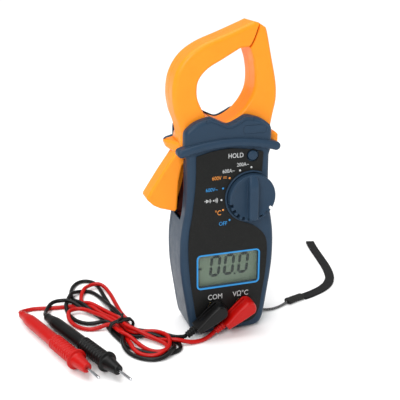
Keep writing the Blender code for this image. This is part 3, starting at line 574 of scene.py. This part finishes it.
def settled(routes, radius, rounds=260):
    """Lays the strands down: each keeps to its route, crosses over or under the others in a long low hump,
    and is moved aside where it would run inside a strand beside it."""
    step, apart, floor = 1.2, 2 * radius + STRAND_CLEARANCE, radius + STRAND_CLEARANCE
    strands = [resampled(smooth(route, 8), step) for route in routes]
    for strand in strands:
        for _ in range(14):
            strand[3:-3] += 0.5 * ((strand[2:-4] + strand[4:-2]) / 2 - strand[3:-3])
    route = np.concatenate(strands)
    ahead = np.concatenate([np.gradient(strand, axis=0) for strand in strands])
    ahead /= np.linalg.norm(ahead, axis=1, keepdims=True)
    owner = np.concatenate([np.full(len(strand), k) for k, strand in enumerate(strands)])
    rank = np.concatenate([np.arange(len(strand)) for strand in strands])
    count = np.array([len(strand) for strand in strands])[owner]
    free = np.where((rank > 3) & (rank < count - 4))[0]
    # Later turns lie on earlier ones and the first strand on the second, but its last run lies lowest.
    order = rank + np.where(owner == 0, 10000, 0)
    order[(owner == 0) & (count - rank < LAST_RUN)] -= 20000
    moved = np.zeros((len(route), 3))
    for turn in range(rounds):
        places = route + moved
        if turn % 10 == 0:
            near = ((places[:, None] - places[None]) ** 2).sum(axis=2) < (apart + 1.5) ** 2
            near &= (owner[:, None] != owner[None, :]) | (np.abs(rank[:, None] - rank[None, :]) > 9)
            first, second = np.nonzero(np.triu(near))
            above = np.where(order[first] > order[second], 1.0, -1.0)
            crossing = np.abs((ahead[first] * ahead[second]).sum(axis=1)) < 0.85
        gap = places[first] - places[second]
        level = np.linalg.norm(gap[:, :2], axis=1)
        high = np.sqrt(np.maximum(apart**2 - level**2, 0)) - above * gap[:, 2]
        upward = np.zeros_like(gap)
        upward[:, 2] = above * np.clip(high, 0, 0.5) * (level < apart)
        whole = np.linalg.norm(gap, axis=1, keepdims=True) + 1e-6
        aside = gap / whole * np.maximum(apart - whole, 0)
        push = np.where(crossing[:, None], upward, aside) * 0.5
        total, hits = np.zeros((len(route), 3)), np.full(len(route), 1e-6)
        for index, sign in ((first, 1), (second, -1)):
            np.add.at(total, index, push * sign)
            np.add.at(hits, index, np.abs(push).sum(axis=1) > 1e-6)
        moved[free] += (total / np.maximum(hits, 1)[:, None])[free]
        moved[free, 2] -= 0.02
        moved[free, :2] *= 0.995
        for _ in range(3):
            moved[free] += 0.5 * ((moved[free - 1] + moved[free + 1]) / 2 - moved[free])
        moved[free, 2] = np.clip(moved[free, 2], floor - route[free, 2], HIGHEST_STRAND - route[free, 2])
    places = route + moved
    return [places[owner == k] for k in range(len(strands))]


red_line, black_line = settled([RED_ROUTE, BLACK_ROUTE], LEAD_RADIUS)


def probe(colour, ends):
    """A moulded probe handle: thin tail, ribbed grip, finger guard and tapered nose."""
    rear, tip = (np.array(end) for end in ends)
    along = (tip - rear) / np.linalg.norm(tip - rear)
    nose = 0.86 * np.linalg.norm(tip - rear)
    profile = [(0, 0), (0, 2.3), (0.6, 2.6), (3.8, 2.75), (7, 3.2), (11, 3.85), (14, 4.05), (30, 4.15)]
    profile.append((46, 4.1))
    for rib in range(9):
        start = 47.5 + rib * 2.7
        profile += [(start, 4.2), (start + 0.5, 4.85), (start + 1.7, 4.85), (start + 2.1, 4.25)]
    profile += [(72.5, 4.3), (73.5, 4.8), (73.7, 6.2), (75.3, 6.2), (75.8, 4.6), (77, 4.2)]
    profile += [(nose - 0.5, 2.95), (nose, 2.6), (nose, 1.05), (nose - 1.0, 0)]
    item = lathe(f"{colour}_probe_body", filleted(profile, 0.35), rear, along, 48)
    return dress(item, f"lead_{colour}", "meter", f"{colour}_probe_handle")


PLUG_FALL = math.radians(35.5)
PLUG_Y = -21.4
JACK_X, JACK_Z = 9.5, 17.8


def plug(colour, side):
    """A right-angle banana plug: a faceted wedge lying along the fall of its lead, with a ringed relief."""
    turn = np.array(Matrix.Rotation(math.pi + PLUG_FALL, 2))
    jack = np.array((side * JACK_X, JACK_Z))
    outline = [*arc((-1.2, 0), 5.6, 112, 248, 16), (3.5, -4.6), (14, -2.9), (16.5, -2.8)]
    outline += [(16.5, 2.8), (14, 2.9), (3.5, 4.6)]
    placed = [tuple(jack + turn @ np.array(point)) for point in outline]
    rows = [(-28, 1.9), (-27.8, 1.2), (-27.3, 0.65), (-26.4, 0.25), (-25, 0), (-18.2, 0), (-17.6, 0.5)]
    piece = prism(f"{colour}_plug_body", placed, rows)
    fall = np.array((-math.cos(PLUG_FALL), 0, -math.sin(PLUG_FALL)))
    level = np.array((math.sin(PLUG_FALL), 0, -math.cos(PLUG_FALL)))
    groove = []
    for s, near_out in ((-3.5, 3.3), (12, 2.2)):
        for y in (-22.2, -19.6):
            for out in (near_out, 9):
                centre = np.array((jack[0], 0, jack[1])) + fall * s - level * out
                groove.append((centre[0], y, centre[2]))
    carve(piece, "DIFFERENCE", raw("groove", groove, BOX_FACES))
    bevelled(piece, 0.35, 3, 40)
    rings = [(0, 0), (0, 2.75)]
    for ring in range(4):
        start, thinner = 2.4 + ring * 1.75, ring * 0.1
        rings += [(start, 2.7 - thinner), (start + 0.25, 2.1)]
        rings += [(start + 0.65, 2.1), (start + 0.9, 2.65 - thinner)]
    rings += [(9.3, 2.3), (9.6, 2.0), (9.6, 0)]
    base = np.array((jack[0], PLUG_Y, jack[1])) + fall * 14
    relief = lathe(f"{colour}_relief", filleted(rings, 0.2), base, fall, 40)
    item = together(f"{colour}_plug_moulding", [piece, relief])
    return dress(item, f"lead_{colour}", "meter", f"{colour}_plug")


plugs = {"red": plug("red", 1), "black": plug("black", -1)}
probes = {"red": probe("red", RED_PROBE), "black": probe("black", BLACK_PROBE)}
for colour, line, length, nodes in (
    ("red", red_line, 0.60, ["red_plug_lead", "red_probe_lead"]),
    ("black", black_line, 0.66, ["black_plug_lead", "black_probe_lead", "lead_hank"]),
):
    lead = dress(cable(f"{colour}_lead", line, LEAD_RADIUS), f"lead_{colour}", "meter", *nodes)
    start = tuple(float(value) * MM for value in line[0])

TIE_RADIUS, TIE_HALF_WIDTH, TIE_HALF_HEIGHT, TIE_MIDDLE_Z, TIE_PITCH = 0.7, 8.0, 4.1, 4.0, 1.5
tie_points = []
for turn in np.linspace(0.08, 2.32, 90):
    angle = math.tau * turn
    across, up = TIE_HALF_WIDTH * math.cos(angle), TIE_MIDDLE_Z + TIE_HALF_HEIGHT * math.sin(angle)
    squared = min(1 / max(abs(math.cos(angle)), abs(math.sin(angle))) ** 0.45, 1.12)
    shift = TIE_PITCH * (turn - 1.2)
    x, y = TIE_MIDDLE + TIE_SIDE * across * squared + TIE_AXIS * shift
    tie_points.append((x, y, max(TIE_RADIUS + 0.05, TIE_MIDDLE_Z + (up - TIE_MIDDLE_Z) * squared)))
x, y, z = tie_points[-1]
loose_end = [(x, y, z), (x + 1.0, y + 1.5, z + 1.4), (x + 3.4, y + 3.0, z + 1.8), (x + 4.6, y + 4.6, z + 4.0)]
tie_points += smooth(loose_end)[1:]
dress(cable("twist_tie", tie_points, TIE_RADIUS), "rubber_black", "meter", "lead_tie")

# ---------------------------------------------------------------- wrist strap

STRAP_CORD = [(26.1, 1.6, 6.4), (28.4, 1.2, 3.8), (32, 0.6, 1.6), (39.2, 0.6, 1.1), (46, 2.8, 1.1)]
STRAP_CORD += [(51.2, 5.5, 1.5)]
STRAP_SLEEVE = [(51.9, 5.8), (58, 8), (65.4, 10.3)]
STRAP_BAND = [(66, 10.6), (73.7, 13), (84.6, 18.1), (93.1, 25), (99.5, 35), (104.2, 49.4), (107.8, 67.5)]
STRAP_BAND += [(111.3, 86.8), (114.6, 100.8)]

strap_line = resampled(smooth([*STRAP_CORD, (54, 6.6, 1.9)], 8), 0.8)
strap_cord = cable("strap_thin_cord", strap_line, 0.85)
dress(strap_cord, "strap_fabric", "meter", "strap_cord", look=STRAP_CORD_GLINT_LOOK)

sleeve_path = resampled([(x, y, 1.95) for x, y in smooth(STRAP_SLEEVE, 8)], 0.4)
sections = []
for k in range(len(sleeve_path)):
    share = k / (len(sleeve_path) - 1)
    swell = 1 - 0.16 * max(0, 1 - share / 0.08) ** 2 - 0.12 * max(0, (share - 0.92) / 0.08) ** 2
    swell -= 0.035 * (1 + math.cos(share * math.tau * 7)) * (0.15 < share < 0.85)
    section = [(3.0 * swell * np.sign(c) * abs(c) ** 0.75, 1.8 * swell * np.sign(s) * abs(s) ** 0.75)
               for c, s in ((math.cos(a), math.sin(a)) for a in np.linspace(0, math.tau, 28, endpoint=False))]
    sections.append(section)
sleeve = sweep("strap_rubber_sleeve", sleeve_path, sections)
dress(sleeve, "rubber_black", "meter", "strap_sleeve", sharp=50)

band_path = resampled([(x, y, 1.0) for x, y in smooth(STRAP_BAND, 8)], 1.0)
half = 3.25
layer = [(-half, 0.1), (-half + 0.3, 0.0), (half - 0.3, 0.0), (half, 0.1)]
layer += [(half, 0.62), (half - 0.3, 0.78), (-half + 0.3, 0.78), (-half, 0.62)]
lower = [(a, b - 0.88) for a, b in layer]
upper = [(a, b + 0.08) for a, b in layer]
around = lower[:4] + [lower[4], (half - 0.35, -0.12), (half - 0.35, 0.1), upper[3]] + upper[4:]
around += [upper[0], (-half + 0.35, 0.1), (-half + 0.35, -0.12), lower[7]]
sections = []
for k in range(len(band_path)):
    from_end = len(band_path) - 1 - k
    lift = 0.03 * math.sin(k * 0.21)
    close = 1 - 0.5 * max(0, 1 - from_end / 1.5) ** 2
    sections.append([(a * (1 - 0.04 * (from_end < 2)), (b + lift * (b > 0)) * close) for a, b in around])
band = dress(sweep("strap_webbing", band_path, sections), "strap_fabric", "meter", "strap_band", sharp=60)

# ---------------------------------------------------------------- case

FRONT_Y, BACK_Y, PARTING_Y, WALL = -16.4, 15.2, 9.0, 2.2
THROUGH_FRONT = (FRONT_Y - 1, FRONT_Y + WALL + 1)
BEHIND_BACK_Y = 20
OPEN_HALF_DEPTH, OPEN_FROM_Z = 10.6, 115.8
GUARD_HALF_SPAN, GUARD_RISE, GUARD_TIP_Z, GUARD_HALF_WIDTH = 29.8, 4.3, 121.7, 2.6
PANEL_FRONT_Y = -17.2
JAW_PIVOT = (-19.0, 121.0)
DIAL, DIAL_WELL = (13.7, 91.2), 16.7
HOLD, HOLD_RADIUS = (14.5, 117.2), 3.1
DISPLAY_X, DISPLAY_Z = 20.0, (33.2, 54.9)
DOOR_HALF_WIDTH, DOOR_Z, DOOR_SCREW_Z = 13.5, (9.8, 70.2), 66.2
CASE_SCREWS = [(-21.5, 13.8), (21.5, 13.8), (-21.0, 70.0), (21.0, 70.0)]

BODY = [(16, 0), (21.2, 1), (24.3, 4.6), (26, 12), (27.6, 23), (29.6, 37), (30.6, 48), (30.6, 62), (29.4, 73)]
BODY += [(27.4, 84), (26.4, 98), (26.2, 116)]
SHIELD_SIDE = [(27.3, 120), (27.4, 131), (26.4, 134.6)]
SHIELD_TOP = [(26.4, 134.6), (21, 138.6), (14.5, 140.8), (10.5, 141.2), (5.5, 138.8), (0, 136.8)]


def case_outline():
    side = smooth(BODY) + smooth(SHIELD_SIDE, 5)[:-1]
    top = smooth(SHIELD_TOP + mirrored(SHIELD_TOP[-2::-1]))
    return side + top[:-1] + mirrored(side[::-1])


def guard_outline():
    radius = (GUARD_HALF_SPAN**2 + GUARD_RISE**2) / (2 * GUARD_RISE)
    middle = (0, GUARD_TIP_Z + GUARD_RISE - radius)
    half_angle = math.degrees(math.asin(GUARD_HALF_SPAN / radius))
    lower = arc(middle, radius - GUARD_HALF_WIDTH, 90 + half_angle, 90 - half_angle, 36)
    upper = arc(middle, radius + GUARD_HALF_WIDTH, 90 - half_angle, 90 + half_angle, 36)
    right_end = arc((GUARD_HALF_SPAN, GUARD_TIP_Z), GUARD_HALF_WIDTH, -90 - half_angle, 90 - half_angle, 14)
    left_end = arc((-GUARD_HALF_SPAN, GUARD_TIP_Z), GUARD_HALF_WIDTH, 90 + half_angle, 270 + half_angle, 14)
    return lower + right_end[1:-1] + upper + left_end[1:-1]


def jaw_opening(name):
    return block(name, (-40, -OPEN_HALF_DEPTH, OPEN_FROM_Z), (40, OPEN_HALF_DEPTH, 150))


outline = case_outline()
inside = [tuple(point) for point in offset(outline, WALL)]

front = prism("front_shell", outline, rim(FRONT_Y, PARTING_Y - 0.1, 3.2, 0.35))
guard = prism("front_guard", guard_outline(), rim(-19, -11, 2.2, 1.0))
ring = arc(DIAL, 16.55, 66, 300, 60) + arc(DIAL, 15.35, 300, 66, 60)
dial_ring = prism("dial_ring", ring, rim(-17.9, FRONT_Y + 1, 0.5, 0, 4))
lip_line = [(x, FRONT_Y + 0.5, z - 1.3) for x, z in smooth(SHIELD_TOP[2:] + mirrored(SHIELD_TOP[-2:1:-1]))]
lip_curve = cable("lip_curve", lip_line, 1.0, 3)
lip = from_curve("lip", lip_curve.data, Matrix())
bpy.data.objects.remove(lip_curve)
carve(front, "UNION", guard, dial_ring, lip)
cutters = [
    prism("front_cavity", inside, rim(FRONT_Y + WALL, PARTING_Y + 1)),
    jaw_opening("front_opening"),
    block("trigger_slot", (-34, -7.8, 77), (-22, 6.8, 118)),
    block("display_hole", *zip((-DISPLAY_X, DISPLAY_X), THROUGH_FRONT, DISPLAY_Z)),
    rod("dial_hole", DIAL, *THROUGH_FRONT, 6.4),
    rod("hold_hole", HOLD, *THROUGH_FRONT, HOLD_RADIUS + 0.4),
    rod("com_hole", (-JACK_X, JACK_Z), *THROUGH_FRONT, 4.6),
    rod("volt_hole", (JACK_X, JACK_Z), *THROUGH_FRONT, 4.6),
]
pocket = [((-26.5, -8.6, 77), (-17, -7.8, 107.4)), ((-26.5, 6.8, 77), (-17, 7.6, 107.4))]
pocket += [((-17.8, -8.6, 77), (-17, 7.6, 107.4)), ((-28, -8.6, 76.2), (-17, 7.6, 77))]
mark = rounded_rectangle((8.5, 130.2), (23.5, 135.8), 1.6)
groove = plate("mark_groove", [mark, offset(mark, 0.5)], FRONT_Y - 1, FRONT_Y + 0.22)
carve(front, "DIFFERENCE", *cutters, groove)
dress(front, "case_plastic", "meter", "front_case", sharp=38)
walls = together("trigger_pocket", [block("wall", *ends) for ends in pocket])
# The pocket walls carry painted orange bounce light and shade instead of the case's navy.
dress(walls, "case_plastic", "meter", look=POCKET_BOUNCE_LOOK)

rear = prism("rear_shell", outline, rim(PARTING_Y + 0.1, BACK_Y, 0.35, 3.2))
carve(rear, "UNION", prism("rear_guard", guard_outline(), rim(11, 18.2, 1.0, 2.2)))
cutters = [prism("rear_cavity", inside, rim(PARTING_Y - 1, BACK_Y - WALL)), jaw_opening("rear_opening")]
carve(rear, "DIFFERENCE", *cutters)
tray = block("cell_tray", (-12.6, -2.5, 9.8), (12.6, BACK_Y - WALL + 0.4, 62.2))
posts = [rod("door_post", (0, DOOR_SCREW_Z), 3.5, BACK_Y - WALL + 0.4, 3.2, 24)]
posts += [rod("post", place, PARTING_Y + 0.2, BACK_Y - WALL + 0.4, 4, 24) for place in CASE_SCREWS]
carve(rear, "UNION", tray, *posts)
door_low = (-DOOR_HALF_WIDTH - 0.3, 13.9, DOOR_Z[0] - 0.3)
cutters = [
    block("door_recess", door_low, (DOOR_HALF_WIDTH + 0.3, BEHIND_BACK_Y, DOOR_Z[1] + 0.3)),
    block("cell_bay", (-11.4, -1.3, 11), (11.4, BEHIND_BACK_Y, 61)),
    rod("door_thread", (0, DOOR_SCREW_Z), 3, BEHIND_BACK_Y, 1.5, 24),
]
for x, z in CASE_SCREWS:
    counterbore = [(0, 1.7), (3.5, 1.7), (3.5, 3.1), (12, 3.1)]
    cutters.append(lathe("screw_hole", counterbore, (x, PARTING_Y - 1, z), steps=32))
carve(rear, "DIFFERENCE", *cutters)
dress(rear, "case_plastic", "meter", "rear_case", sharp=38)

# ---------------------------------------------------------------- front panel


def panel_outline():
    """Follows the case's edge, and steps round the dial on the right."""
    left = [(-20.9, 119.2), (-21.4, 101), (-23.6, 82), (-25.6, 70), (-26.1, 57), (-25, 40), (-23, 25)]
    left += [(-21.6, 14)]
    lower_left = [(-21.6, 14), (-18.6, 7.6), (-13, 4.9), (0, 4)]
    right = [(21.6, 14), (23, 25), (25, 40), (25.6, 56), (23.6, 64.5), (17.3, 71), (10, 74.6)]
    round_dial = arc(DIAL, DIAL_WELL, 254, 65, 60)
    top = arc((20.2, 118.2), 1.2, 0, 70, 5) + smooth([(11, 121.4), (0, 122.5), (-11, 121.6)])
    bottom = smooth(lower_left)
    edge = smooth(left)[:-1] + bottom[:-1] + mirrored(bottom[::-1])[:-1]
    return edge + smooth(right)[:-1] + round_dial + top


display = rounded_rectangle((-DISPLAY_X, DISPLAY_Z[0]), (DISPLAY_X, DISPLAY_Z[1]), 2)
holes = [display, arc(HOLD, 3.9, 0, 354, 59)]
holes += [arc((side * JACK_X, JACK_Z), 5.4, 0, 354, 59) for side in (-1, 1)]
panel = plate("front_panel", [panel_outline(), *holes], PANEL_FRONT_Y, -16.65)
bevelled(panel, 0.18, 2, 50)
dress(panel, "panel_black", "meter", "face_panel")

PRINT_Y = (PANEL_FRONT_Y - 0.05, PANEL_FRONT_Y + 0.02)
PRINT_HALF_DEPTH = 0.000035  # metres
LETTER_NARROWING = 0.86
DASH_HEIGHT = 0.3


def lettering(words, x, z, size):
    curve = bpy.data.curves.new("words", "FONT")
    curve.body, curve.size, curve.extrude = words, size * MM, PRINT_HALF_DEPTH
    curve.align_x, curve.align_y, curve.resolution_u = "CENTER", "CENTER", 3
    place = Matrix.Translation((x * MM, sum(PRINT_Y) / 2 * MM, z * MM)) @ UPRIGHT
    return from_curve("words", curve, place @ Matrix.Diagonal((LETTER_NARROWING, 1, 1, 1)))


def mark_of(outline):
    return plate("mark", [outline], *PRINT_Y)


def dash(x, z, width):
    low, high = z - DASH_HEIGHT / 2, z + DASH_HEIGHT / 2
    return mark_of([(x, low), (x + width, low), (x + width, high), (x, high)])


def dot(x, z, radius=0.62):
    return mark_of(arc((x, z), radius, 0, 345, 23))


def sound(x, z):
    """A source and three growing arcs."""
    parts = [dot(x, z, 0.45)]
    for k in range(3):
        radius = 1.1 + 0.75 * k
        parts.append(mark_of(arc((x, z), radius + 0.16, -38, 38, 8) + arc((x, z), radius - 0.16, 38, -38, 8)))
    return parts


legends = {
    "white": [
        lettering("HOLD", 3.7, 117.8, 4.1), lettering("200A~", 8.3, 111.9, 3.3), dot(13.8, 109.8),
        lettering("600A~", -0.8, 108.6, 3.3), dot(6.5, 108.4), dot(-5.2, 90.7),
        mark_of([(-15, 89.6), (-12.6, 90.8), (-15, 92.0)]), dash(-16, 90.8, 4.6),
        mark_of([(-12.6, 89.6), (-12.2, 89.6), (-12.2, 92), (-12.6, 92)]), *sound(-10.2, 90.8),
        lettering("COM", -8.7, 25.9, 5.0), lettering("VΩ°C", 8.4, 25.9, 5.0),
    ],
    "blue": [
        lettering("600V~", -11.4, 97.7, 3.3), dot(-4.2, 98.0),
        lettering("OFF", -4.0, 75.2, 3.6), dot(0.2, 77.2),
    ],
    "orange": [
        lettering("600V", -8.3, 104.7, 3.3), dash(-4.2, 105.2, 2.2), dot(-0.1, 104.2),
        *[dash(-4.2 + 0.8 * k, 104.4, 0.55) for k in range(3)],
        lettering("°C", -7.3, 82.4, 4.4), dot(-4.1, 84.2),
    ],
}
for colour, parts in legends.items():
    dress(together(f"legends_{colour}", parts), "panel_black", "meter", look=LEGEND_LOOKS[colour])
outer = rounded_rectangle((-20.95, 32.2), (20.95, 55.85), 2.9)
lap = 0.05
inner = rounded_rectangle((-DISPLAY_X + lap, DISPLAY_Z[0] + lap), (DISPLAY_X - lap, DISPLAY_Z[1] - lap), 2)
frame_line = plate("display_frame", [outer, inner], PANEL_FRONT_Y - 0.12, PANEL_FRONT_Y + 0.3)
dress(frame_line, "panel_black", "meter", look=LEGEND_LOOKS["blue"])

# ---------------------------------------------------------------- display

CELL_FRONT_Y = -13.8
SEGMENT, LEAN = 1.9, math.tan(math.radians(5.8))
DIGIT_WIDTH, DIGIT_HEIGHT = 5.3, 12.6


def segment(x, z, length, upright):
    """A six-sided bar centred on a point of an upright digit."""
    h, w = length / 2, SEGMENT / 2
    shape = [(-h, 0), (-h + w, -w), (h - w, -w), (h, 0), (h - w, w), (-h + w, w)]
    return [(x + (-b if upright else a), z + (a if upright else b)) for a, b in shape]


def zero(x, z):
    """The six outer bars of a leaning digit."""
    half_w, half_h = DIGIT_WIDTH / 2, DIGIT_HEIGHT / 2
    sides = {
        "a": (0, half_h, DIGIT_WIDTH, False), "d": (0, -half_h, DIGIT_WIDTH, False),
        "b": (half_w, half_h / 2, half_h, True), "c": (half_w, -half_h / 2, half_h, True),
        "e": (-half_w, -half_h / 2, half_h, True), "f": (-half_w, half_h / 2, half_h, True),
    }
    parts = []
    for key in "abcdef":
        dx, dz, length, upright = sides[key]
        shape = segment(dx, dz, length - 0.35, upright)
        parts.append([(x + a + b * LEAN, z + b) for a, b in shape])
    return parts


bars = [bar for x in (-7.7, 1.5, 11.0) for bar in zero(x, 45.8)]
bars.append([(-18.9, 44.3), (-16.6, 44.3), (-16.5, 45.6), (-18.8, 45.6)])
bars.append(arc((5.4, 38.9), 0.7, 0, 330, 11))
segments = [plate("bar", [bar], CELL_FRONT_Y - 0.06, CELL_FRONT_Y - 0.01) for bar in bars]
dress(together("display_digits", segments), "display_glass", "meter", look=LEGEND_LOOKS["segment"])

# ---------------------------------------------------------------- range dial and hold button

dish = [(1.75, 2.0), (1.8, 5.0), (1.5, 8.5), (0.8, 11.8), (0.15, 13.6), (0.0, 14.2), (0.2, 14.75)]
dish += [(0.7, 15), (4, 15), (4, 5.6), (11.4, 5.6)]
knob = lathe("knob", dish, (DIAL[0], -21.5, DIAL[1]), steps=128)
GRIP_SECTIONS = [(-14.3, 1.3, -21.4), (-14.0, 2.1, -23.2), (-13.3, 2.6, -24.0), (-12, 2.9, -24.35)]
GRIP_SECTIONS += [(-10, 3.0, -24.4), (6, 3.0, -24.4), (8.4, 3.0, -24.15), (10.6, 3.0, -23.5)]
GRIP_SECTIONS += [(12.4, 2.8, -22.7), (13.8, 2.2, -21.8), (14.3, 1.4, -21.2)]
grip = []
for z, width, top in GRIP_SECTIONS:
    side = [(width, -19.5), (width, top + 1.3), (width - 0.15, top + 0.7), (width - 0.5, top + 0.25)]
    side.append((width - 1.1, top))
    section = side + [(-x, y) for x, y in side[::-1]]
    grip += [(DIAL[0] + x, y, DIAL[1] + z) for x, y in section]
grip_bar = raw("grip", grip, tube_faces(len(GRIP_SECTIONS), len(section)))
FIRST_NOTCH, NOTCH_SPACING = 196, 16.5
dial_place = Matrix.Translation((DIAL[0] * MM, 0, DIAL[1] * MM))
notches = []
for degrees in np.arange(9) * NOTCH_SPACING + FIRST_NOTCH:
    tooth = block("tooth", (12.9, -22.4, -1.05), (16, -17.0, 1.05))
    tooth.data.transform(dial_place @ Matrix.Rotation(-math.radians(degrees), 4, "Y"))
    notches.append(tooth)
carve(knob, "DIFFERENCE", *notches)
knob = together("range_dial", [knob, grip_bar])
dress(knob, "case_plastic", "dial", "range_dial", sharp=30)

button_profile = [(0, 0), (0.02, 1.2), (0.12, 2.1), (0.35, 2.7), (0.8, 3.05), (1.2, 3.1), (4.3, 3.1)]
button_profile += [(4.3, 4.3), (5.1, 4.3), (5.1, 1.5), (6.2, 1.5), (6.2, 0)]
button = lathe("hold_key", button_profile, (HOLD[0], -18.2, HOLD[1]), steps=64)
dress(button, "case_plastic", "hold_button", "hold_button")

# ---------------------------------------------------------------- jaws

JAW_HALF_DEPTH, SEAM_RADIUS = 10.0, 21.0
WINDOW_LEFT = [(8.5, 179.7), (-2, 173.9), (-11, 168.9), (-16.4, 163), (-17.8, 157), (-17.2, 151)]
WINDOW_LEFT += [(-14.2, 144)]
WINDOW_RIGHT = [(-5.6, 137.9), (0, 137), (7.7, 140.9), (13.8, 147.4), (17.4, 155), (18, 164), (16.8, 172.5)]
OUTER_LEFT = [(16.6, 195.1), (12, 193.2), (0.2, 188.6), (-14.7, 182.9), (-24.3, 176.4), (-30.3, 167.6)]
OUTER_LEFT += [(-32.7, 157.4), (-32.2, 144.4), (-30.2, 136.6), (-28.8, 129.4)]
OUTER_RIGHT = [(24.4, 191.3), (25.6, 187.6), (28.5, 174.4), (31.7, 159.6), (32.3, 149), (30.3, 138.5)]
OUTER_RIGHT += [(28.6, 129)]
SPLIT = [(14.0, 180.4), (16.7, 185.2), (20.0, 194.1)]


def outline_of(*parts):
    """Joins (points, rim weight) parts into one outline with a weight for each edge."""
    points, weights = [], []
    for line, weight in parts:
        points += list(line)
        weights += [weight] * len(line)
    return points, np.array(weights)


def jaw_rows(depth=JAW_HALF_DEPTH, radius=3.0):
    """Front face, round rim, flat side with a fine parting groove, and the same behind."""
    angles = np.linspace(0, math.pi / 2, 8)
    front = [(-depth + radius * (1 - math.cos(a)), radius * (1 - math.sin(a))) for a in angles]
    front += [(-0.22, 0), (-0.14, 0.22)]
    rows = front + [(-y, d) for y, d in front[::-1]]
    facets = [max(0, min(1, (abs(y) - 2.5) / (depth - 2.5))) * 3.2 for y, _ in rows]
    return [(y, d, f) for (y, d), f in zip(rows, facets)]


outer_left = smooth(OUTER_LEFT, 7)
flange = [(-28.4, 126), (-28, 118.6), (-24, 118.6), (-22.2, 113.4), (-16, 109.2), (-8, 108.8)]
points, weights = outline_of(
    (smooth(SPLIT)[:-1], 0.12),
    ([SPLIT[2]], 0.8),
    (outer_left[:-1], 1.0),
    ([outer_left[-1]], 0.35),
    (flange[:1], 0.35),
    (flange[1:], 0.0),
    (arc(JAW_PIVOT, SEAM_RADIUS, -32, 74, 40), 0.0),
    (smooth(WINDOW_LEFT, 7)[::-1], 0.6),
)
low_left = np.array([1.0 if (x < -20 and z < 158 and w > 0.9) else 0.0 for (x, z), w in zip(points, weights)])
low_left *= np.array([max(0.0, min(1.0, (152 - z) / 22)) for _, z in points])
moving = prism("moving_jaw_shell", points, jaw_rows(), weights, low_left)
carve(moving, "DIFFERENCE", block("neck_recess", (-23.9, -12, 100), (10, -6.3, 118.3)))
LUG_PLAN = [(-23, 9.8), (-31.4, 9.8), (-33.8, 8.6), (-34.2, 6.4), (-28.6, -7.6), (-26.4, -9.6), (-23, -9.6)]
LUG_ROWS = [(118.6, 0.2), (118.9, 0), (120, 0), (121.5, 0), (124.4, 0), (125.2, 0.25), (125.8, 0.8)]
LUG_ROWS.append((126, 1.5))
lug = []
for z, inset in LUG_ROWS:
    left = -34.4 + max(0, 122.5 - z) * 1.15
    plan = offset(smooth(LUG_PLAN, 5, closed=True), inset)
    lug += [(max(x, left), y, z - max(0, -x - 27) * 0.12) for x, y in plan]
lug_shell = raw("lug", lug, tube_faces(len(LUG_ROWS), len(plan)))
moving = together("moving_jaw_shell", [moving, lug_shell])
dress(moving, "jaw_plastic", "moving_jaw", "moving_jaw_front", "moving_jaw_rear", sharp=30)

seam = arc(JAW_PIVOT, SEAM_RADIUS + 0.3, 54, -24, 36)
neck = [(4, 106), (22.6, 106), (23.4, 118.6), (33.4, 118.6), (33.4, 127), (32.4, 128.4)]
fixed_tip = [(x + 0.6, z - 0.4) for x, z in SPLIT[::-1]]
outer_right = smooth(OUTER_RIGHT, 7)[::-1]
points, weights = outline_of(
    (seam, 0.0),
    (neck[:-1], 0.0),
    (neck[-1:], 0.3),
    (outer_right[:-1], 1.0),
    (outer_right[-1:], 0.8),
    (smooth(fixed_tip, 3), 0.12),
    (smooth(WINDOW_RIGHT, 7)[::-1], 0.6),
)
weights[-8:] = np.linspace(0.6, 0, 8)
fixed = prism("fixed_jaw_shell", points, [row[:2] for row in jaw_rows()], weights)
carve(fixed, "DIFFERENCE", block("neck_recess", (-5, -12, 100), (24.4, -6, 123)))
dress(fixed, "jaw_plastic", "meter", "fixed_jaw_front", "fixed_jaw_rear", sharp=30)

trigger = [(-23.5, 124), (-26, 121), (-30.6, 119.6), (-32.4, 117), (-39.6, 107), (-48.6, 93.4), (-48.8, 92.2)]
trigger += [(-48.2, 91), (-44.6, 87.4), (-40.6, 85.2), (-31.4, 82.4), (-29.9, 83.9), (-28.7, 101)]
trigger += [(-26.5, 111), (-23.5, 114)]
rows = rim(-7, 6, 1.6, 1.6, 5)
web = [(-31.5, 85), (-29.4, 85), (-25.2, 100), (-23.2, 111), (-29.5, 111)]
dress(together("jaw_trigger", [prism("handle", trigger, rows), prism("web", web, rim(-1.5, 3, 0.3, 0.3, 2))]),
      "jaw_plastic", "moving_jaw", sharp=30)

# ---------------------------------------------------------------- stage and light

floor_corners = [(-6000, -4000, 0), (6000, -4000, 0), (6000, 9000, 0), (-6000, 9000, 0)]
floor_mesh = raw("floor", floor_corners, [(0, 1, 2, 3)])
floor_look = finish_of("studio_floor", (250, 250, 250), 0.9, bump=0.0, vary=0.003, edge_wear_and_highlight=0, specular=0.0)
floor_mesh.data.materials.append(floor_look)

world = bpy.data.worlds.new("studio")
world.use_nodes = True
background = world.node_tree.nodes["Background"]
background.inputs["Color"].default_value = (1, 1, 1, 1)
background.inputs["Strength"].default_value = 0.35
bpy.context.scene.world = world
bpy.context.scene.view_settings.view_transform = "Standard"


def area_light(name, place, aim, size, power):
    data = bpy.data.lights.new(name, "AREA")
    data.shape = "DISK"
    data.size, data.energy = size, power
    lamp = bpy.data.objects.new(name, data)
    lamp.location = place
    lamp.rotation_euler = (Vector(aim) - Vector(place)).to_track_quat("-Z", "Y").to_euler()
    bpy.context.scene.collection.objects.link(lamp)


MIDDLE = (0, 0, 0.1)
area_light("key", (-0.6, -0.8, 0.8), MIDDLE, 0.5, 8)
area_light("side", (0.9, -0.3, 0.5), MIDDLE, 0.5, 2)
sun = bpy.data.lights.new("overhead", "SUN")
sun.energy, sun.angle = 2.4, math.radians(60)
overhead = bpy.data.objects.new("overhead", sun)
overhead.rotation_euler = (math.radians(-8), math.radians(-10), 0)
bpy.context.scene.collection.objects.link(overhead)
